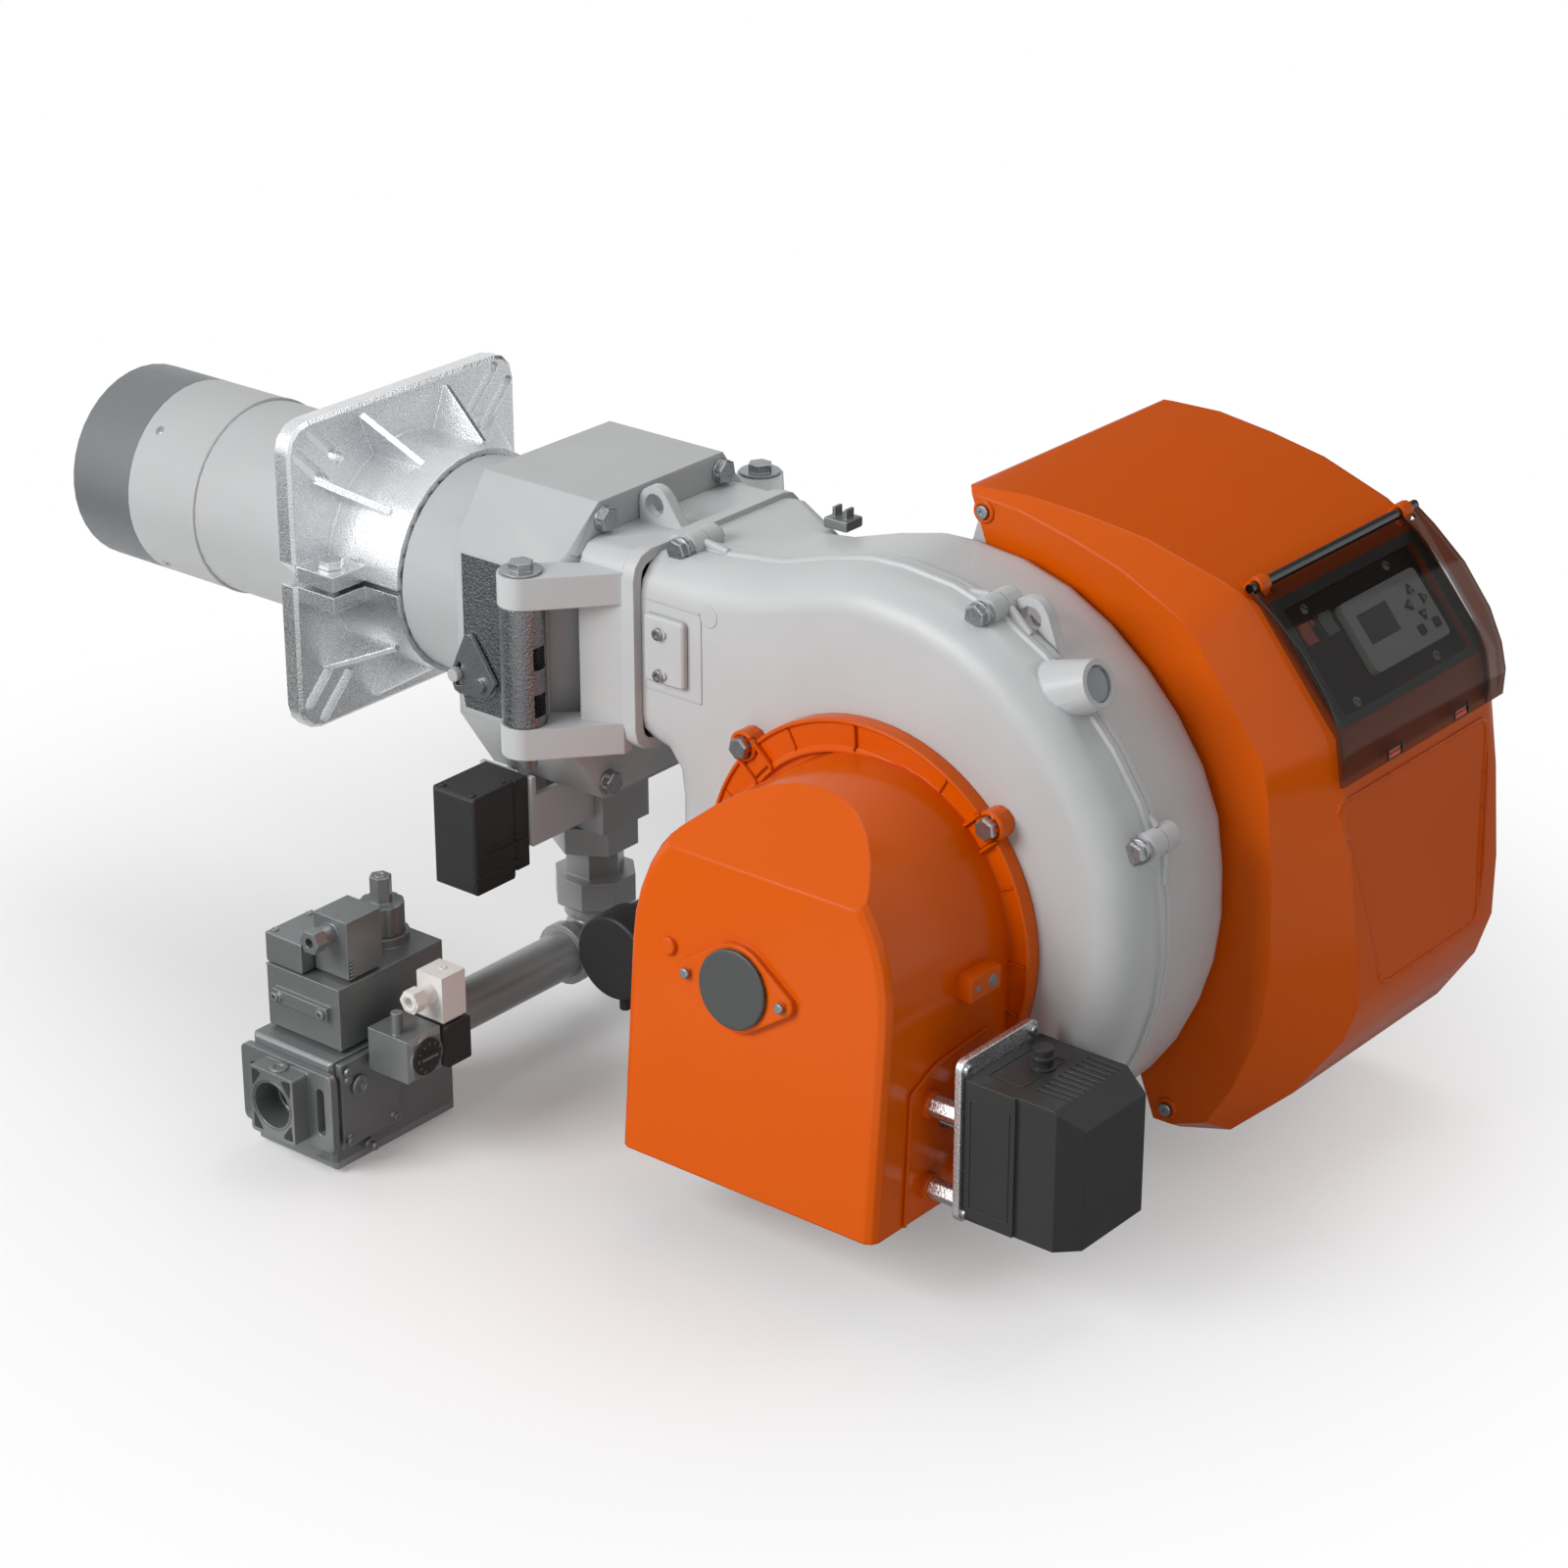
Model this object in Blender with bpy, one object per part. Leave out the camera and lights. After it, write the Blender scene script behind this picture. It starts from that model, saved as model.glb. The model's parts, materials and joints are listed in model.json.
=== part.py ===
"""Industrial gas burner, modelled as separate pieces on their real joints.

The burner axis is X at y = 0, z = 0. The origin lies on the boiler side of the
flange. -X points into the boiler, -Y is the side with air intake and gas train.
All lengths are in metres.
"""

import math

import bmesh
import bpy
from mathutils import Matrix, Vector

# Fits shared by all pieces
PLAY = 0.0003
LAP = 0.002
PAST = 0.003
BOLT_PLAY = 0.0006

# Mounting flange, split in two halves that clamp the blast tube
FLANGE_SIDE = 0.280
FLANGE_THICK = 0.017
FLANGE_CORNER = 0.025
FLANGE_EDGE = 0.003
SPLIT_WIDTH = 0.005
COLLAR_RADIUS = 0.100
COLLAR_END = 0.098
GUSSET_THICK = 0.006
GUSSET_REACH = 0.040
GUSSET_LENGTH = 0.058
GUSSET_ANGLES = (38, 68, 112, 142)
SLOT_WIDTH = 0.011
SLOT_START = 0.128
SLOT_END = 0.172
SLOT_SPREAD = 0.012
LUG_X = (0.015, 0.060)
LUG_OUT = 0.137
LUG_HEIGHT = 0.016
LUG_BOLT_RADIUS = 0.006
LUG_BOLT_OUT = 0.119
LUG_HEX = 0.019
HEX_HEIGHT = 0.007
PLATE_CUT = 0.016

# Blast tube and its tip
TUBE_RADIUS = 0.0885
SLEEVE_RADIUS = 0.090
TUBE_WALL = 0.004
TIP_END = -0.320
TIP_JOINT = -0.247
SLEEVE_END = -0.163
TUBE_END = 0.160
SPIGOT_LENGTH = 0.020
MOUTH_RADIUS = 0.081
MOUTH_DEPTH = 0.018

# Gas gun and flame disc, which slide inside the tube
GUN_RADIUS = 0.0213
GUN_WALL = 0.0035
GUN_X = (-0.298, 0.277)
DISC_X = (-0.286, -0.282)
DISC_RADIUS = 0.074
DISC_SLOT_INNER = 0.040
DISC_SLOTS = 10
DISC_SLOT_SHARE = 0.3
PORT_RADIUS = 0.0035
FEED_X = (0.205, 0.251)
PIN_RADIUS = 0.004
PIN_REACH = 0.066
ELECTRODE_OFFSETS = ((0.0, 0.034), (0.022, -0.030))
ELECTRODE_RADIUS = 0.006
ELECTRODE_WIRE = 0.0015
ELECTRODE_X = (-0.300, -0.200)
ELECTRODE_CLIP_X = (-0.250, -0.238)

# Head casting
NECK_RADIUS = 0.095
NECK_START = 0.100
BOX_X = (0.172, 0.311)
BOX_SHOULDER = 0.013
BOX_HALF = 0.117
BOX_TOP = 0.126
BOX_TOP_HALF = 0.078
BOX_SIDE_TOP = 0.071
BOX_SIDE_BOTTOM = -0.080
BOX_BOTTOM = -0.138
HEAD_WALL = 0.009
MOUTH_HALF = 0.084
HEAD_RELIEF = ((0.2855, 0.1185), (0.3125, 0.1185), (0.3125, 0.093))
RELIEF_Z = (-0.083, 0.087)
RISER_X = 0.228
RISER_RADIUS = 0.026
GAS_BORE = 0.018
SLEEVE_OUTER = 0.028
GUN_SLEEVE_X = (0.188, 0.272)
PIN_SLOT_HALF = 0.017
PAD_X = (0.184, 0.272)
PAD_HALF = 0.036
PAD_BOTTOM = -0.141
CASTING_BOLT_Y = 0.074
CASTING_BOLT_Z = (0.111, -0.123)
CASTING_HEX = 0.018

# Hinge at both sides between head and fan housing
HINGE_X = 0.291
HINGE_Y = 0.151
HINGE_PIN = 0.008
BARREL_RADIUS = 0.019
BARREL_Z = (-0.047, 0.055)
UPPER_EAR_Z = (0.056, 0.083)
LOWER_EAR_Z = (-0.075, -0.048)
EAR_RADIUS = 0.020
WINDOWS_Z = ((0.002, 0.022), (-0.039, -0.019))
WINDOW_HALF = 0.007
PIN_WASHER = 0.018
PIN_HEX = 0.0185
PIN_TOP = 0.092
PIN_TIP = -0.095

# Lever that sets the flame disc
LEVER_X = 0.214
LEVER_Z = -0.046
LEVER_SHAFT = 0.006
LEVER_PLATE = 0.004
CLAMP_X = 0.188
CLAMP_Z = -0.042
CLAMP_SHANK = 0.003
CLAMP_HEAD = 0.006
LEVER_SLOT_WIDTH = 0.0072
LEVER_SWEEP = 0.42
LEVER_APEX = (0.201, -0.010)
LEVER_CORNER = (0.230, -0.042)
CRANK_Y = (-0.060, -0.052)
CRANK_TOP = 0.013
CRANK_HALF = 0.009

# Gas throttle under the head
BLOCK_X = (0.191, 0.265)
BLOCK_HALF = 0.030
BLOCK_BOTTOM = -0.203
THROTTLE_Z = -0.172
THROTTLE_SHAFT = 0.004
BUTTERFLY_THICK = 0.0024
BRACKET_X = (0.197, 0.256)
BRACKET_Y = -0.108
BRACKET_PLATE = 0.005
BRACKET_Z = (-0.187, -0.124)
GAS_SERVO_X = (0.204, 0.252)
GAS_SERVO_Y = (-0.175, -0.124)
GAS_SERVO_Z = (-0.211, -0.122)
GAS_SERVO_STEP = 0.006

# Union, elbow and pipe
COLLAR_HEX = 0.067
COLLAR_Z = -0.228
UNION_HEX = 0.046
UNION_Z = -0.257
NUT_RADIUS = 0.037
NUT_BOTTOM = -0.283
PIPE_Z = -0.322
PIPE_RADIUS = 0.0212
ELBOW_RADIUS = 0.0245
ELBOW_BEAD = 0.028
ELBOW_BEAD_LENGTH = 0.011
ELBOW_FACE = -0.045
ELBOW_BEND = 0.027
PIPE_END = -0.231

# Gas valve
VALVE_X = (0.182, 0.272)
VALVE_Y = (-0.371, PIPE_END - PLAY)
VALVE_Z = (-0.379, -0.280)
VALVE_EDGE = 0.003
HEAD_X = (0.186, 0.268)
HEAD_Y = (-0.354, -0.234)
HEAD_TOP = -0.222
CAP_X = (0.186, 0.227)
CAP_Y = (-0.354, -0.301)
CAP_TOP = -0.194
DIN_X = (0.229, 0.266)
DIN_Y = (-0.340, -0.301)
DIN_TOP = -0.168
DIN_GLAND_Z = -0.182
GLAND_RADIUS = 0.009
GLAND_LENGTH = 0.024
REGULATOR_Y = -0.262
REGULATOR_BASE = 0.02225
REGULATOR_BASE_TOP = -0.214
REGULATOR_KNOB = 0.0188
REGULATOR_KNOB_TOP = -0.188
REGULATOR_HEX = 0.0165
REGULATOR_TOP = -0.165
REGULATOR_STEM = 0.006
BAR_X = (0.196, 0.258)
BAR_Z = (-0.252, -0.240)
BAR_THICK = 0.005
SIDE_PLATE_X = 0.006
SIDE_PLATE_Y = (-0.366, -0.300)
SIDE_PLATE_Z = (-0.359, -0.282)
SIDE_HEX = 0.008
FLANGE_ARM_X = (0.176, 0.279)
FLANGE_ARM_Z = (-0.358, -0.288)
FLANGE_ARM_THICK = 0.007
PORT_BLOCK_X = (0.203, 0.253)
PORT_BLOCK_Z = (-0.352, -0.292)
PORT_FACE = -0.396
PORT_BORE = 0.020
EAR_SLOT_X = (0.190, 0.266)
EAR_SLOT_Z = (-0.340, -0.306)
EAR_SLOT_RADIUS = 0.0045
POCKET_DEPTH = 0.007

# Gas pressure switch on the valve
SWITCH_X = (0.283, 0.330)
SWITCH_Y = (-0.338, -0.299)
SWITCH_Z = (-0.294, -0.256)
SWITCH_EDGE = 0.004
SWITCH_NECK = (-0.314, -0.287)
SWITCH_NECK_RADIUS = 0.0055
DIAL_CENTRE = (-0.3185, -0.275)
DIAL_RADIUS = 0.0155
DIAL_RIM = 0.0178
DIAL_DEPTH = 0.0035
SWITCH_COVER_X = (0.290, 0.330)
SWITCH_COVER_Y = (-0.2987, -0.267)
SWITCH_COVER_Z = (-0.296, -0.258)
PLUG_X = (0.300, 0.328)
PLUG_Y = (-0.297, -0.270)
PLUG_TOP = -0.215
PLUG_GLAND_Z = -0.231
NIPPLE_RADIUS = 0.005
NIPPLE_Y = -0.330
NIPPLE_TOP = -0.237

# Fan housing: outline radii about the fan axis, seen from -Y
FAN_X = 0.612
FAN_Z = -0.137
SPIRAL = ((92, 0.269), (74, 0.265), (48, 0.254), (25, 0.250), (10, 0.240), (-20, 0.231), (-90, 0.222), (-180, 0.213))
SPIRAL_STEP = 10
NECK_X = (0.3113, 0.372)
NECK_HALF = 0.103
NECK_TOP = 0.098
NECK_BOTTOM = -0.068
NECK_CORNER = 0.018
NECK_BEAD = 0.004
NECK_BEAD_X = (0.356, 0.372)
TOP_DIP = ((0.372, 0.098), (0.430, 0.0995), (0.482, 0.106), (0.530, 0.121), (0.570, 0.1305))
THROAT = ((0.3992, -0.104), (0.3965, -0.084), (0.387, -0.072), (0.372, NECK_BOTTOM))
HOUSING_WALL = 0.006
SEAM_Y = -0.045
NEAR_FACE = -0.098
NEAR_ROUND = ((-0.074, 0.001), (-0.087, 0.008), (-0.0955, 0.018))
NEAR_INSET = 0.030
FAR_FACE = 0.050
FAR_ROUND = ((0.036, 0.003), (0.045, 0.006))
FAR_INSET = 0.012
SEAM_BEAD = 0.003
SEAM_BEAD_WIDTH = 0.006
BACK_SLOPE_X = (0.386, 0.478)
SEAM_BOLTS = ((0.390, 0.101), (0.687, 0.120), (0.839, -0.033), (0.772, -0.304), (0.560, -0.357), (0.414, -0.218))
SEAM_BOSS = 0.0115
SEAM_BOSS_LENGTH = 0.017
SEAM_HEX = 0.016
ARM_OUTER = ((0.311, -0.1375), (0.357, -0.104))
ARM_INNER = ((0.357, -0.094), (0.326, -0.098))
FRONT_LUG_Y = (-0.030, -0.020)
FRONT_LUG = ((0.3285, 0.113), 0.0165)
FRONT_LUG_FEET = ((0.3125, 0.092), (0.364, 0.092))
REAR_LUG_Y = (-0.036, -0.026)
REAR_LUG = ((0.711, 0.112), 0.0175)
REAR_LUG_FEET = ((0.665, 0.108), (0.745, 0.072))
LUG_HOLE = 0.010
SIGHT_FACE = (0.787, -0.052, 0.084)
SIGHT_ROOT = (0.736, -0.052, 0.062)
SIGHT_RADII = (0.027, 0.019)
SIGHT_BORE = 0.0145
SIGHT_LENS_DEPTH = 0.006
HATCH_X = (0.379, 0.421)
HATCH_Z = (-0.003, 0.055)
HATCH_THICK = 0.006
HATCH_FRAME = 0.008
HATCH_HOLE = 0.009

# Impeller, motor and their bores
EYE_RADIUS = 0.095
FAN_RADIUS = 0.130
FAN_Y = (-0.082, 0.012)
FAN_PLATE = 0.003
FAN_RIM = 0.004
BLADES = 20
BLADE_INNER_SHARE = 0.82
BLADE_THICK = 0.002
BLADE_SWEEP = 0.30
HUB_RADIUS = 0.024
MOTOR_SHAFT = 0.012
MOTOR_SHAFT_END = 0.082
MOTOR_BORE = 0.035
MOTOR_RADIUS = 0.088
MOTOR_FLANGE = 0.100
MOTOR_FLANGE_THICK = 0.012
MOTOR_END = 0.262
COWL_RADIUS = 0.090
COWL_END = 0.322
COWL_WALL = 0.003
FIN_COUNT = 16
FIN_HEIGHT = 0.007
FIN_THICK = 0.004
TERMINAL_X = (0.560, 0.650)
TERMINAL_Y = (0.110, 0.200)
TERMINAL_HEIGHT = 0.045

# Air intake with its damper
RING_RADIUS = 0.160
RING_Y = (-0.110, NEAR_FACE - PLAY)
RING_LIP = 0.140
INTAKE_X = (0.499, 0.752)
INTAKE_BOTTOM = -0.313
INTAKE_FRONT_TOP = -0.256
INTAKE_FRONT_BOTTOM = -0.278
INTAKE_WALL = 0.005
ARCH_TOP = -0.001
ROOF_CREASE = -0.050
ROOF_TOP_Y = -0.183
ARCH_SHOULDER = -0.137
ARCH_POWER_SHARE = 2.1
ARCH_STEPS = 20
RING_BOLTS = (138, 42, -42, 222)
RING_BOSS = 0.013
CAP_CENTRE_Z = -0.143
CAP_CENTRE_X = 0.611
CAP_RADIUS = 0.032
CAP_THICK = 0.004
DIAMOND_REACH = 0.0465
DIAMOND_EAR = 0.010
DIAMOND_HEIGHT = 0.006
PLUG_BOSS = (0.541, -0.130)
PLUG_BOSS_RADIUS = 0.0075
DAMPER_Y = -0.188
DAMPER_Z = -0.240
DAMPER_HALF = 0.071
DAMPER_THICK = 0.003
DAMPER_SHAFT = 0.007
DAMPER_END_PLAY = 0.002

# Air damper servo beside the intake
STANDOFF_Y = (-0.211, -0.168)
STANDOFF_Z = (-0.288, -0.217)
STANDOFF_BOSS = 0.011
STANDOFF_BOSS_END = 0.758
STANDOFF_HEX = 0.015
SERVO_PLATE_X = (0.785, 0.791)
SERVO_PLATE_Y = (-0.222, -0.124)
SERVO_PLATE_Z = (-0.304, -0.166)
SERVO_X = (0.7913, 0.890)
SERVO_Y = (-0.218, -0.122)
SERVO_Z = (-0.300, -0.181)
SERVO_CHAMFER = 0.018
SERVO_SPLIT = 0.838
SERVO_STUB = (0.825, -0.165)
SERVO_STUB_RADIUS = 0.0075
SERVO_STUB_TOP = -0.164
SERVO_SOCKET = 0.012
VENT_COUNT = 10
VENT_WIDTH = 0.003
VENT_LENGTH = 0.030
VENT_DEPTH = 0.002

# Air pressure switch on the housing, under the neck
AIR_SWITCH_X = 0.338
AIR_SWITCH_Z = -0.268
AIR_SWITCH_RADIUS = 0.038
AIR_SWITCH_Y = (-0.105, -0.070)
AIR_COVER_Y = (-0.0697, -0.030)
AIR_COVER_RADIUS = 0.034
AIR_BRACKET_Y = (-0.078, -0.073)
AIR_BRACKET_Z = (-0.282, -0.254)
ARM_WALL = ((0.319, -0.1000), (0.357, -0.1000), (0.357, -0.104), (0.3225, -0.118))
AIR_LUG_Y = (-0.0297, -0.0220)
AIR_LUG_FEET = ((0.452, -0.290), (0.438, -0.242))
HOOD_FEET = ((0.592, 0.100), (0.749, -0.266))
INTAKE_EDGE = 0.008
RING_BOLT_CIRCLE = 0.163

# Hood: profile in X and Z, and the y at which each corner reaches full width
HOOD_PROFILE = (
    ((0.582, 0.164), 0.060), ((0.633, 0.165), 0.066), ((0.685, 0.158), 0.074), ((0.736, 0.148), 0.082),
    ((0.798, 0.126), 0.092), ((0.8275, 0.109), 0.104), ((0.9015, 0.0205), 0.110), ((0.908, -0.020), 0.108),
    ((0.917, -0.080), 0.112), ((0.924, -0.160), 0.118), ((0.924, -0.214), 0.126), ((0.913, -0.249), 0.122),
    ((0.881, -0.298), 0.104), ((0.840, -0.335), 0.080), ((0.800, -0.340), 0.066), ((0.780, -0.336), 0.060),
)
HOOD_BRIM_Y = 0.0525
HOOD_BRIM_SHARE = 0.6
HOOD_EDGE = 0.347
HOOD_EDGE_ROUND = ((0.330, 0.0), (0.339, 0.003), (0.345, 0.009), (0.347, 0.016))
HOOD_WALL = 0.005
HOOD_ARC = ((0.606, -0.106), 0.2155)
HOOD_FOOT_PLAY = 0.0012
HOOD_SCREWS = ((0.601, 0.148), (0.796, -0.319))
HOOD_LUG_RADIUS = 0.011
HOOD_SCREW_HEAD = 0.0055
RECESS_FACE = ((0.100, -0.038), (0.155, -0.205), (0.308, -0.207), (0.325, -0.032))
RECESS_X = (0.9128, 0.9265, 0.9265, 0.9125)
RECESS_DEPTH = 0.0022

# Control panel, in a plane that leans back: u runs down the panel, n out of it
PANEL_ORIGIN = (0.8275, 0.109)
PANEL_ANGLE = 50.1
BEZEL_Y = (0.113, 0.329)
BEZEL_U = (0.002, 0.1135)
BEZEL_WINDOW_Y = (0.123, 0.317)
BEZEL_WINDOW_U = (0.011, 0.1065)
BEZEL_THICK = 0.0022
WELL_DEPTH = 0.010
WELL_WALL = 0.003
PLATE_N = (-0.0095, -0.006)
PANEL_SCREWS = ((0.156, 0.0178), (0.277, 0.0175), (0.275, 0.1001), (0.155, 0.1007))
PANEL_SCREW_RADIUS = 0.004
DISPLAY_Y = (0.188, 0.299)
DISPLAY_U = (0.0283, 0.090)
DISPLAY_N = (-0.0057, 0.0015)
SCREEN_Y = (0.200, 0.244)
SCREEN_U = (0.042, 0.0683)
SCREEN_DEPTH = 0.001
ARROW_KEYS = (("up", 0.2785, 0.0437, 90), ("left", 0.2675, 0.0545, 180), ("right", 0.2890, 0.0545, 0), ("down", 0.2785, 0.0657, -90))
ARROW_SIZE = 0.0056
SMALL_KEYS = (("escape", 0.2665, 0.0766), ("enter", 0.2888, 0.0766))
SMALL_KEY_HALF = 0.0040
KEY_N = (-0.0027, 0.0029)
KEY_PLAY = 0.0004
KEY_TRAVEL = 0.0012
POWER_Y = (0.1344, 0.1500)
POWER_U = (0.0265, 0.0464)
MODE_Y = (0.1635, 0.1800)
MODE_U = (0.0259, 0.0469)
SWITCH_FRAME = 0.0018
ROCKER_N = (-0.013, -0.0025)
ROCKER_DISH = 0.0012
ROCKER_PLAY = 0.0009
LAMP = (0.1558, 0.0303)
LAMP_RADIUS = 0.0032

# Lid over the panel
LID_HINGE = (0.8205, 0.1225)
LID_PIN = 0.004
LID_Y = (0.098, 0.342)
LID_WALL = 0.0025
LID_PROFILE = ((0.8215, 0.1235), (0.840, 0.1105), (0.870, 0.085), (0.896, 0.052), (0.909, 0.025), (0.9145, 0.003), (0.9135, -0.019))
LID_FOOT = ((0.9105, -0.019), (0.9045, 0.020), (0.8315, 0.1085), (0.823, 0.117))
LID_LIFT = 0.0006
HINGE_HOOKS_Y = (0.112, 0.322)
HINGE_HOOK_HALF = 0.006
HINGE_HOOK_RADIUS = 0.0075
LATCH_Y = (0.173, 0.274)
LATCH_HALF = 0.010
LATCH_Z = (-0.017, -0.009)
LATCH_OUT = 0.0035

# Electrical plate inside the hood
BOARD_X = (0.776, 0.779)
BOARD_Y = (FAR_FACE + PLAY, 0.285)
BOARD_Z = (-0.215, 0.018)
BOARD_FOOT = 0.022
CONTACTOR_X = 0.060
CONTACTORS = (((0.085, 0.135), (-0.150, -0.080)), ((0.150, 0.200), (-0.150, -0.080)), ((0.085, 0.250), (-0.040, 0.020)))


def point_at(axis, first, second, along):
    """A point from its place across an axis and its place along it."""
    return {"X": (along, first, second), "Y": (first, along, second), "Z": (first, second, along)}[axis]


def mesh_of(points, faces):
    body = bmesh.new()
    made = [body.verts.new(point) for point in points]
    for face in faces:
        body.faces.new([made[i] for i in face])
    bmesh.ops.recalc_face_normals(body, faces=body.faces)
    bmesh.ops.triangulate(body, faces=[face for face in body.faces if len(face.verts) > 3])
    mesh = bpy.data.meshes.new("shape")
    body.to_mesh(mesh)
    body.free()
    shape = bpy.data.objects.new("shape", mesh)
    parts.objects.link(shape)
    return shape


def loft(rings, closed=False):
    """A skin through rings with the same number of points, capped unless it closes on itself."""
    count = len(rings[0])
    points = [point for ring in rings for point in ring]
    spans = len(rings) if closed else len(rings) - 1
    faces = []
    for k in range(spans):
        here, there = k * count, (k + 1) % len(rings) * count
        faces += [
            (here + i, here + (i + 1) % count, there + (i + 1) % count, there + i) for i in range(count)
        ]
    if not closed:
        faces += [tuple(range(count)), tuple(range((len(rings) - 1) * count, len(rings) * count))]
    return mesh_of(points, faces)


def prism(axis, outline, span, edge=0.0):
    """An outline drawn out along an axis; edge chamfers the rim at the end of larger |along|."""
    low, high = span
    steps = [(low, 0.0), (high, 0.0)]
    if edge:
        if abs(high) >= abs(low):
            steps = [(low, 0.0), (high - edge, 0.0), (high, -edge)]
        else:
            steps = [(low, -edge), (low + edge, 0.0), (high, 0.0)]
    return loft([[point_at(axis, p, q, a) for p, q in offset(outline, d)] for a, d in steps])


def offset(outline, distance):
    """Moves each corner of an outline outwards by distance along its mitre."""
    if not distance:
        return list(outline)
    area = sum(a[0] * b[1] - b[0] * a[1] for a, b in zip(outline, outline[1:] + outline[:1]))
    turn = 1.0 if area > 0 else -1.0
    moved = []
    for before, here, after in zip(outline[-1:] + outline[:-1], outline, outline[1:] + outline[:1]):
        first = Vector((here[0] - before[0], here[1] - before[1])).normalized()
        second = Vector((after[0] - here[0], after[1] - here[1])).normalized()
        normal = Vector((first.y + second.y, -first.x - second.x)).normalized() * turn
        reach = distance / max(0.5, normal.dot(Vector((first.y, -first.x)) * turn))
        moved.append((here[0] + normal.x * reach, here[1] + normal.y * reach))
    return moved


def box(x, y, z, edge=0.0, axis="Z"):
    across = {"X": (y, z, x), "Y": (x, z, y), "Z": (x, y, z)}[axis]
    (a, b), (c, d), span = across
    return prism(axis, [(a, c), (b, c), (b, d), (a, d)], span, edge)


def round_box(axis, first, second, span, radius, edge=0.0):
    return prism(axis, round_rect(first, second, radius), span, edge)


def circle(centre, radius, sides=16, start=0.0):
    steps = [start + 2 * math.pi * i / sides for i in range(sides)]
    return [(centre[0] + radius * math.cos(a), centre[1] + radius * math.sin(a)) for a in steps]


def hexagon(centre, across, start=0.0):
    return circle(centre, across / math.sqrt(3), 6, start)


def round_rect(first, second, radius, steps=3):
    corners = ((first[1], second[1], 0), (first[0], second[1], 90), (first[0], second[0], 180), (first[1], second[0], 270))
    outline = []
    for p, q, angle in corners:
        cp = p + (radius if p == first[0] else -radius)
        cq = q + (radius if q == second[0] else -radius)
        for i in range(steps + 1):
            a = math.radians(angle + 90 * i / steps)
            outline.append((cp + radius * math.cos(a), cq + radius * math.sin(a)))
    return outline


def around(*points):
    """The convex outline around points, as of a strap over two bosses."""
    points = sorted(set((round(p, 7), round(q, 7)) for p, q in points))
    halves = []
    for row in (points, points[::-1]):
        chain = []
        for p in row:
            while len(chain) > 1:
                (ax, ay), (bx, by) = chain[-2], chain[-1]
                if (bx - ax) * (p[1] - ay) - (by - ay) * (p[0] - ax) > 1e-12:
                    break
                chain.pop()
            chain.append(p)
        halves += chain[:-1]
    return halves


def rod(axis, centre, radius, span, sides=16, edge=0.0):
    return prism(axis, circle(centre, radius, sides), span, edge)


def turned(axis, centre, profile, sides=24, closed=False):
    """A profile of (along, radius) turned about an axis. A closed one has a bore."""
    rings = [[point_at(axis, p, q, along) for p, q in circle(centre, radius, sides)] for along, radius in profile]
    return loft(rings, closed)


def tube(axis, centre, outer, inner, span, sides=24):
    low, high = span
    return turned(axis, centre, ((low, outer), (high, outer), (high, inner), (low, inner)), sides, True)


def is_closed(mesh):
    body = bmesh.new()
    body.from_mesh(mesh)
    closed = all(len(edge.link_faces) == 2 for edge in body.edges)
    body.free()
    return closed


def boolean_mesh(shape, tool, operation, solver):
    modifier = shape.modifiers.new("join", "BOOLEAN")
    modifier.operation = operation
    modifier.object = tool
    modifier.solver = solver
    graph = bpy.context.evaluated_depsgraph_get()
    mesh = bpy.data.meshes.new_from_object(shape.evaluated_get(graph))
    shape.modifiers.clear()
    return mesh


def apply_boolean(shape, tool, operation):
    """Joins or cuts with the exact solver, and with the other one where the exact one leaves a slit."""
    mesh = boolean_mesh(shape, tool, operation, "EXACT")
    if not is_closed(mesh):
        bpy.data.meshes.remove(mesh)
        mesh = boolean_mesh(shape, tool, operation, "MANIFOLD")
    old, shape.data = shape.data, mesh
    bpy.data.meshes.remove(old)


def discard(shape):
    mesh = shape.data
    bpy.data.objects.remove(shape)
    bpy.data.meshes.remove(mesh)


def joined(shape, *more):
    for other in more:
        apply_boolean(shape, other, "UNION")
        discard(other)
    return shape


def cut(shape, *tools):
    for tool in tools:
        apply_boolean(shape, tool, "DIFFERENCE")
        discard(tool)
    return shape


def moved(shape, matrix):
    shape.data.transform(matrix)
    return shape


def turned_by(shape, angle, axis, centre=(0, 0, 0)):
    centre = Vector(centre)
    return moved(shape, Matrix.Translation(centre) @ Matrix.Rotation(angle, 4, axis) @ Matrix.Translation(-centre))


def copy_of(shape):
    other = shape.copy()
    other.data = shape.data.copy()
    parts.objects.link(other)
    return other


def node(name, shape, look, origin=None):
    """Names a finished piece, gives it its material and sets its origin on its joint."""
    shape.name = name
    shape.data.name = name
    if origin is not None:
        shape.data.transform(Matrix.Translation(-Vector(origin)))
        shape.location = origin
    shape.data.materials.clear()
    shape.data.materials.append(looks[look])
    shape.data.shade_smooth()
    shape.data.set_sharp_from_angle(angle=math.radians(35))
    return shape


def grown(span, by):
    return (span[0] - by, span[1] + by)


def both(value):
    return (-value, value)


def mirror(outline):
    return [(p, -q) for p, q in outline]


for leftover in list(bpy.data.objects):
    bpy.data.objects.remove(leftover)

parts = bpy.data.collections.new("gas_burner")
bpy.context.scene.collection.children.link(parts)

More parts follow.
